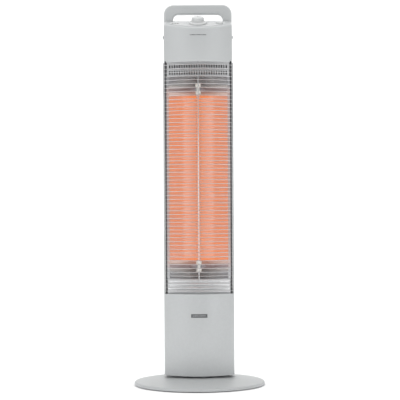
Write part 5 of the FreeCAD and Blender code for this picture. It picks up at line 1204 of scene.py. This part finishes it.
class HEATER_OT_plates(bpy.types.Operator):
    """Slotted vent plate above and ribbed plate below the reflector"""
    bl_idname = "heater.plates"
    bl_label = "Bright plates"

    def execute(self, context):
        self.make_vent_plate()
        self.make_ribbed_plate()
        return {"FINISHED"}

    def bowed(self, half, turn_x, z):
        """A place on the plates' bow: turn_x is the distance along it from the middle."""
        radius = sizes().plate_bow
        centre_y = MOUTH_Y + math.sqrt(radius ** 2 - half ** 2)
        turn = turn_x / radius
        return Vector((radius * math.sin(turn), centre_y - radius * math.cos(turn), z))

    def make_vent_plate(self):
        """One slot cell repeated along the bow and in two rows, with plain strips round them."""
        data = sizes()
        half = high("vent_plate", 0)
        bottom, top = low("vent_plate", 2), high("vent_plate", 2)
        reach = data.plate_bow * math.asin(half / data.plate_bow)
        plain_end = 3.5 * MM
        slots_half = half - plain_end
        pitch = 2 * slots_half / data.slot_count
        rows = [bottom + data.slot_row_rise + data.slot_row_pitch * n for n in range(2)]
        cell_half = data.slot_row_pitch / 2
        metal = bright_sheet()
        cell = self.slot_cell(pitch, cell_half * 2, data.slot_width, data.slot_height, metal)
        spots = []
        for level in rows:
            for n in range(data.slot_count):
                along = (n - (data.slot_count - 1) / 2) * pitch
                place = self.bowed(half, along, level)
                spots.append((place, (0, 0, along / data.plate_bow), 1.0))
        cells = scattered("cells", cell, spots, metal)
        inner = pitch * data.slot_count / 2
        parts = [cells]
        parts.append(self.strip(half, -reach, reach, bottom, rows[0] - cell_half, 48, metal))
        parts.append(self.strip(half, -reach, reach, rows[1] + cell_half, top, 48, metal))
        for side in (-1, 1):
            ends = sorted((side * inner, side * reach))
            parts.append(self.strip(half, *ends, rows[0] - cell_half, rows[1] + cell_half, 2, metal))
        piece = join("Slotted_vent_plate", parts, metal)
        make_sheet(piece, sizes().sheet, 5e-6, 40)
        stand_in(piece, "column", "bright_plate", "vent_plate")

    def slot_cell(self, width, height, slot_width, slot_height, material):
        """A flat rectangle with a round-ended slot in it."""
        radius = slot_width / 2
        straight = slot_height / 2 - radius
        inner, outer = [], []
        for centre, start in ((straight, 0.0), (-straight, math.pi)):
            for n in range(7):
                turn = start + math.pi * n / 6
                inner.append((radius * math.cos(turn), centre + radius * math.sin(turn)))
        for x, z in inner:
            reach = min(width / 2 / max(abs(x), 1e-9), height / 2 / max(abs(z), 1e-9))
            outer.append((x * reach, z * reach))
        for corner in ((width / 2, height / 2), (-width / 2, height / 2),
                       (-width / 2, -height / 2), (width / 2, -height / 2)):
            nearest = min(range(len(outer)), key=lambda n: math.dist(outer[n], corner))
            outer[nearest] = corner
        vertices = [(x, 0, z) for x, z in inner + outer]
        count = len(inner)
        faces = [(n, (n + 1) % count, count + (n + 1) % count, count + n) for n in range(count)]
        return mesh_from("slot cell", vertices, faces, material)

    def strip(self, half, left, right, bottom, top, count, material):
        vertices = []
        for n in range(count + 1):
            along = left + (right - left) * n / count
            vertices += [self.bowed(half, along, bottom), self.bowed(half, along, top)]
        faces = [(n * 2, n * 2 + 2, n * 2 + 3, n * 2 + 1) for n in range(count)]
        return mesh_from("strip", vertices, faces, material)

    def make_ribbed_plate(self):
        """Rounded ribs rolled along the bow."""
        half = high("vent_plate", 0)
        bottom, top = low("lower_plate", 2), high("lower_plate", 2)
        reach = sizes().plate_bow * math.asin(half / sizes().plate_bow)
        ribs, rib = 4, 1.6 * MM
        pitch = (top - bottom + 0.4 * MM) / ribs
        flank = 2.3 * rib
        levels, columns = 96, 40
        vertices, faces = [], []
        for m in range(levels + 1):
            z = bottom + (top - bottom) * m / levels
            offset = (z - bottom) % pitch - pitch / 2
            swell = rib * math.cos(math.pi * offset / (2 * flank)) if abs(offset) < flank else 0.0
            for n in range(columns + 1):
                along = reach * (2 * n / columns - 1)
                point = self.bowed(half, along, z)
                turn = along / sizes().plate_bow
                point -= Vector((-math.sin(turn), math.cos(turn), 0)) * swell
                vertices.append(point)
        row = columns + 1
        for m in range(levels):
            for n in range(columns):
                start = m * row + n
                faces.append((start, start + 1, start + 1 + row, start + row))
        piece = mesh_from("Ribbed_lower_plate", vertices, faces, bright_sheet())
        make_sheet(piece, sizes().sheet, 5e-6, 40)
        stand_in(piece, "column", "bright_plate", "lower_plate")


class HEATER_OT_controls(bpy.types.Operator):
    """Control panel film, dial, swing button, indicator lenses and plain markings"""
    bl_idname = "heater.controls"
    bl_label = "Controls"

    def execute(self, context):
        self.find_slope()
        panel = refined("Control_panel_film", "control_panel", panel_film(), 0.3 * MM)
        stand_in(panel, "column", "panel_film", "control_panel")
        self.make_dial()
        button = refined("Swing_push_button", "swing_button", control_plastic(), 0.3 * MM)
        stand_in(button, "button", "grey_control", "swing_button")
        smoked = finish("Smoked lens", smoked_lens)
        lenses = refined("Indicator_lens_set", "indicator_lenses", smoked, 0.5 * MM)
        stand_in(lenses, "column", "lens_amber", "indicator_lenses")
        self.make_prints()
        repaint(screw_steel(), "dial_shaft")
        repaint(black_moulding(), "rotary_switch", "tact_switch")
        repaint(laminate(), "panel_board")
        return {"FINISHED"}

    def find_slope(self):
        """The panel's own axes, from the dial's joint in the frame."""
        joint = next(item for item in frame["joints"] if item["name"] == "dial_turn")
        normal = Vector(joint["axis"]).normalized()
        up_slope = normal.cross(Vector((1, 0, 0))) * -1
        if up_slope.y < 0:
            up_slope = -up_slope
        turn = Matrix((Vector((1, 0, 0)), up_slope, normal)).transposed().to_4x4()
        self.panel = Matrix.Translation(Vector(joint["pos_m"])) @ turn

    def make_dial(self):
        """A skirted dial with a fluted grip and a pointer line."""
        skirt, grip = 22.5 * MM, 15.5 * MM
        bottom, shoulder, top = 1.6 * MM, 6.6 * MM, 17.6 * MM
        profile = [
            (0, bottom), (skirt - 0.6 * MM, bottom), (skirt, bottom + 0.6 * MM), (skirt, shoulder - 2.2 * MM),
            (skirt - 0.5 * MM, shoulder - 1.2 * MM), (skirt - 1.6 * MM, shoulder - 0.5 * MM),
            (skirt - 3.2 * MM, shoulder - 0.1 * MM), (grip + 1.2 * MM, shoulder),
            (grip + 0.3 * MM, shoulder + 0.3 * MM), (grip - 0.4 * MM, shoulder + 1.2 * MM),
            (grip - 1.0 * MM, top - 1.4 * MM), (grip - 1.4 * MM, top - 0.5 * MM), (grip - 2.4 * MM, top),
            (0, top),
        ]
        plastic = control_plastic()
        body = lathe("dial body", profile, Vector(), plastic, 128)
        height = top - shoulder - 2.6 * MM
        ridge = [(0, 0), (0.7 * MM, 0.3 * MM), (0.85 * MM, 1.0 * MM), (0.8 * MM, height - 0.8 * MM),
                 (0.5 * MM, height - 0.2 * MM), (0, height)]
        part = lathe("dial ridge", ridge, Vector(), plastic, 10)
        spots = []
        count = sizes().dial_ridges
        reach = grip - 0.75 * MM
        for n in range(count):
            turn = 2 * math.pi * n / count
            place = (reach * math.cos(turn), reach * math.sin(turn), shoulder + 1.1 * MM)
            spots.append((place, (0, 0, turn), 1.0))
        ridges = scattered("dial ridges", part, spots, plastic)
        piece = join("Fluted_dial", [body, ridges], plastic)
        piece.data.transform(self.panel)
        tidy(piece, recalculate=False)
        stand_in(piece, "dial", "grey_control", "dial_knob")
        line = self.slab("Dial_pointer", (-0.7 * MM, 0.7 * MM), (5 * MM, grip - 2.6 * MM),
                         (top - 0.1 * MM, top + 0.15 * MM), panel_ink())
        stand_in(line, "dial", "badge_grey")

    def slab(self, name, x_range, y_range, z_range, material):
        """A thin block laid on the slope."""
        return block(name, x_range, y_range, z_range, self.panel, material, smooth=False)

    def make_prints(self):
        """Dots round the dial that grow with the setting, and a bar by the button and each lens."""
        ink = panel_ink()
        face = 1.2 * MM
        band = (face - 0.02 * MM, face + 0.1 * MM)
        dot = lathe("dot", [(0, 0), (0.9 * MM, 0), (0.9 * MM, 0.12 * MM), (0, 0.12 * MM)], Vector(), ink, 20)
        spots = []
        count = 11
        for n in range(count):
            turn = math.radians(225 - 270 * n / (count - 1))
            reach = 26.2 * MM
            x, y = reach * math.cos(turn), reach * math.sin(turn)
            if y > 19.5 * MM or y < -19 * MM:
                continue
            spots.append(((x, y, band[0]), (0, 0, 0), 0.45 + 0.07 * n))
        dots = scattered("dots", dot, spots, ink)
        dots.data.transform(self.panel)
        pieces = [dots]
        button_x = middle("swing_button").x
        wide = (button_x - 4 * MM, button_x + 4 * MM)
        pieces.append(self.slab("bar", wide, (11.5 * MM, 12.5 * MM), band, ink))
        lens_low, lens_high = low("indicator_lenses", 0), high("indicator_lenses", 0)
        for n in range(3):
            x = lens_low + 2.2 * MM + (lens_high - lens_low - 4.4 * MM) * n / 2
            wide = (x - 1.6 * MM, x + 1.6 * MM)
            pieces.append(self.slab(f"tick {n}", wide, (5 * MM, 5.8 * MM), band, ink))
        piece = join("Panel_markings", pieces, ink)
        stand_in(piece, "column", "badge_grey")


class HEATER_OT_fasteners(bpy.types.Operator):
    """Cross-head screws at the back of the column"""
    bl_idname = "heater.fasteners"
    bl_label = "Fasteners"

    def execute(self, context):
        head, rise, shank = 3.8 * MM, 2.6 * MM, 2.0 * MM
        steel = screw_steel()
        drop = -(high("rear_screws", 1) - low("rear_screws", 1) - rise)
        profile = [(0, drop), (shank * 0.6, drop), (shank, drop + 1.5 * MM), (shank, 0), (head, 0),
                   (head, rise * 0.4), (head * 0.86, rise * 0.8), (head * 0.55, rise),
                   (head * 0.3, rise * 0.97), (0, rise * 0.55)]
        part = lathe("screw", profile, Vector(), steel, 24)
        blade = [self.slot_bar(turn, head, rise, steel) for turn in (0, math.pi / 2)]
        part = join("screw", [part] + blade, steel)
        spots = [(place, (math.radians(-90), 0, 0), 1.0) for place in self.screw_places()]
        piece = scattered("Rear_screw_set", part, spots, steel)
        stand_in(tidy(piece, recalculate=False), "column", "screw_zinc", "rear_screws")
        return {"FINISHED"}

    def slot_bar(self, turn, head, rise, material):
        """One raised wing between the recess's arms."""
        rotate = Matrix.Rotation(turn + math.pi / 4, 4, "Z")
        reach, half = head * 0.5, head * 0.12
        return block("wing", (-reach, reach), (-half, half), (rise * 0.6, rise * 0.9), rotate, material)

    def screw_places(self):
        """Under each head: the CAD screws lie in two columns; their levels are read from their meshes."""
        levels = sorted({round(vertex.co.z, 2) for vertex in NODES["rear_screws"].data.vertices})
        groups = []
        for level in levels:
            if not groups or level - groups[-1][-1] > 0.012:
                groups.append([level])
            else:
                groups[-1].append(level)
        heads = {}
        for vertex in NODES["rear_screws"].data.vertices:
            for n, group in enumerate(groups):
                if group[0] - 0.006 <= vertex.co.z <= group[-1] + 0.006:
                    heads.setdefault((n, vertex.co.x > 0), []).append(vertex.co.copy())
        seat = high("rear_screws", 1) - 2.6 * MM
        places = []
        for spots in heads.values():
            x = (min(spot.x for spot in spots) + max(spot.x for spot in spots)) / 2
            z = (min(spot.z for spot in spots) + max(spot.z for spot in spots)) / 2
            places.append((x, seat, z))
        return places


class HEATER_OT_inside(bpy.types.Operator):
    """Finishes for the frame, motor and electrics inside the column; the frame rails' black is painted shade.
    """
    bl_idname = "heater.inside"
    bl_label = "Inside parts"

    def execute(self, context):
        aluminium = finish("Extruded aluminium", bright_metal, (0.52, 0.53, 0.55), roughness=0.38,
                           height=0.15)
        repaint(lead_sleeve(), "heater_leads", "panel_cable", "switch_leads")
        repaint(laminate(), "power_board")
        repaint(aluminium, "swing_motor", "heat_sink", "thermostat")
        # The frame rails are black as painted shade for the dark strips beside the bright plates.
        repaint(black_sheet_and_painted_shade(), "frame_rail_left", "frame_rail_right")
        repaint(zinc_sheet(), "bottom_plate", "heat_shield", "motor_bracket")
        repaint(natural_nylon(), "swivel_bush", "swing_crank", "terminal_block")
        repaint(black_moulding(), "relays", "cord_inlet")
        repaint(screw_steel(), "motor_screws")
        return {"FINISHED"}


class HEATER_PT_panel(bpy.types.Panel):
    """Lists the heater's pieces"""
    bl_idname = "HEATER_PT_panel"
    bl_label = "Tower heater"
    bl_space_type = "VIEW_3D"
    bl_region_type = "UI"
    bl_category = "Heater"

    def draw(self, context):
        column = self.layout.column()
        for operator in OPERATORS:
            column.operator(operator.bl_idname)
        for group in (context.scene.heater_sizes, context.scene.heater_colours):
            box = self.layout.box()
            for name in group.bl_rna.properties.keys():
                if name not in ("name", "rna_type"):
                    box.prop(group, name)


OPERATORS = (
    HEATER_OT_stage, HEATER_OT_casings, HEATER_OT_base, HEATER_OT_guard, HEATER_OT_reflector, HEATER_OT_tube,
    HEATER_OT_plates, HEATER_OT_controls, HEATER_OT_fasteners, HEATER_OT_inside,
)
CLASSES = (HeaterSizes, HeaterColours) + OPERATORS + (HEATER_PT_panel,)


def register():
    for item in CLASSES:
        bpy.utils.register_class(item)
    bpy.types.Scene.heater_sizes = PointerProperty(type=HeaterSizes)
    bpy.types.Scene.heater_colours = PointerProperty(type=HeaterColours)


def unregister():
    del bpy.types.Scene.heater_colours
    del bpy.types.Scene.heater_sizes
    for item in reversed(CLASSES):
        bpy.utils.unregister_class(item)


def main():
    register()
    for operator in OPERATORS:
        group, _, name = operator.bl_idname.partition(".")
        getattr(getattr(bpy.ops, group), name)()


if __name__ == "__main__":
    main()
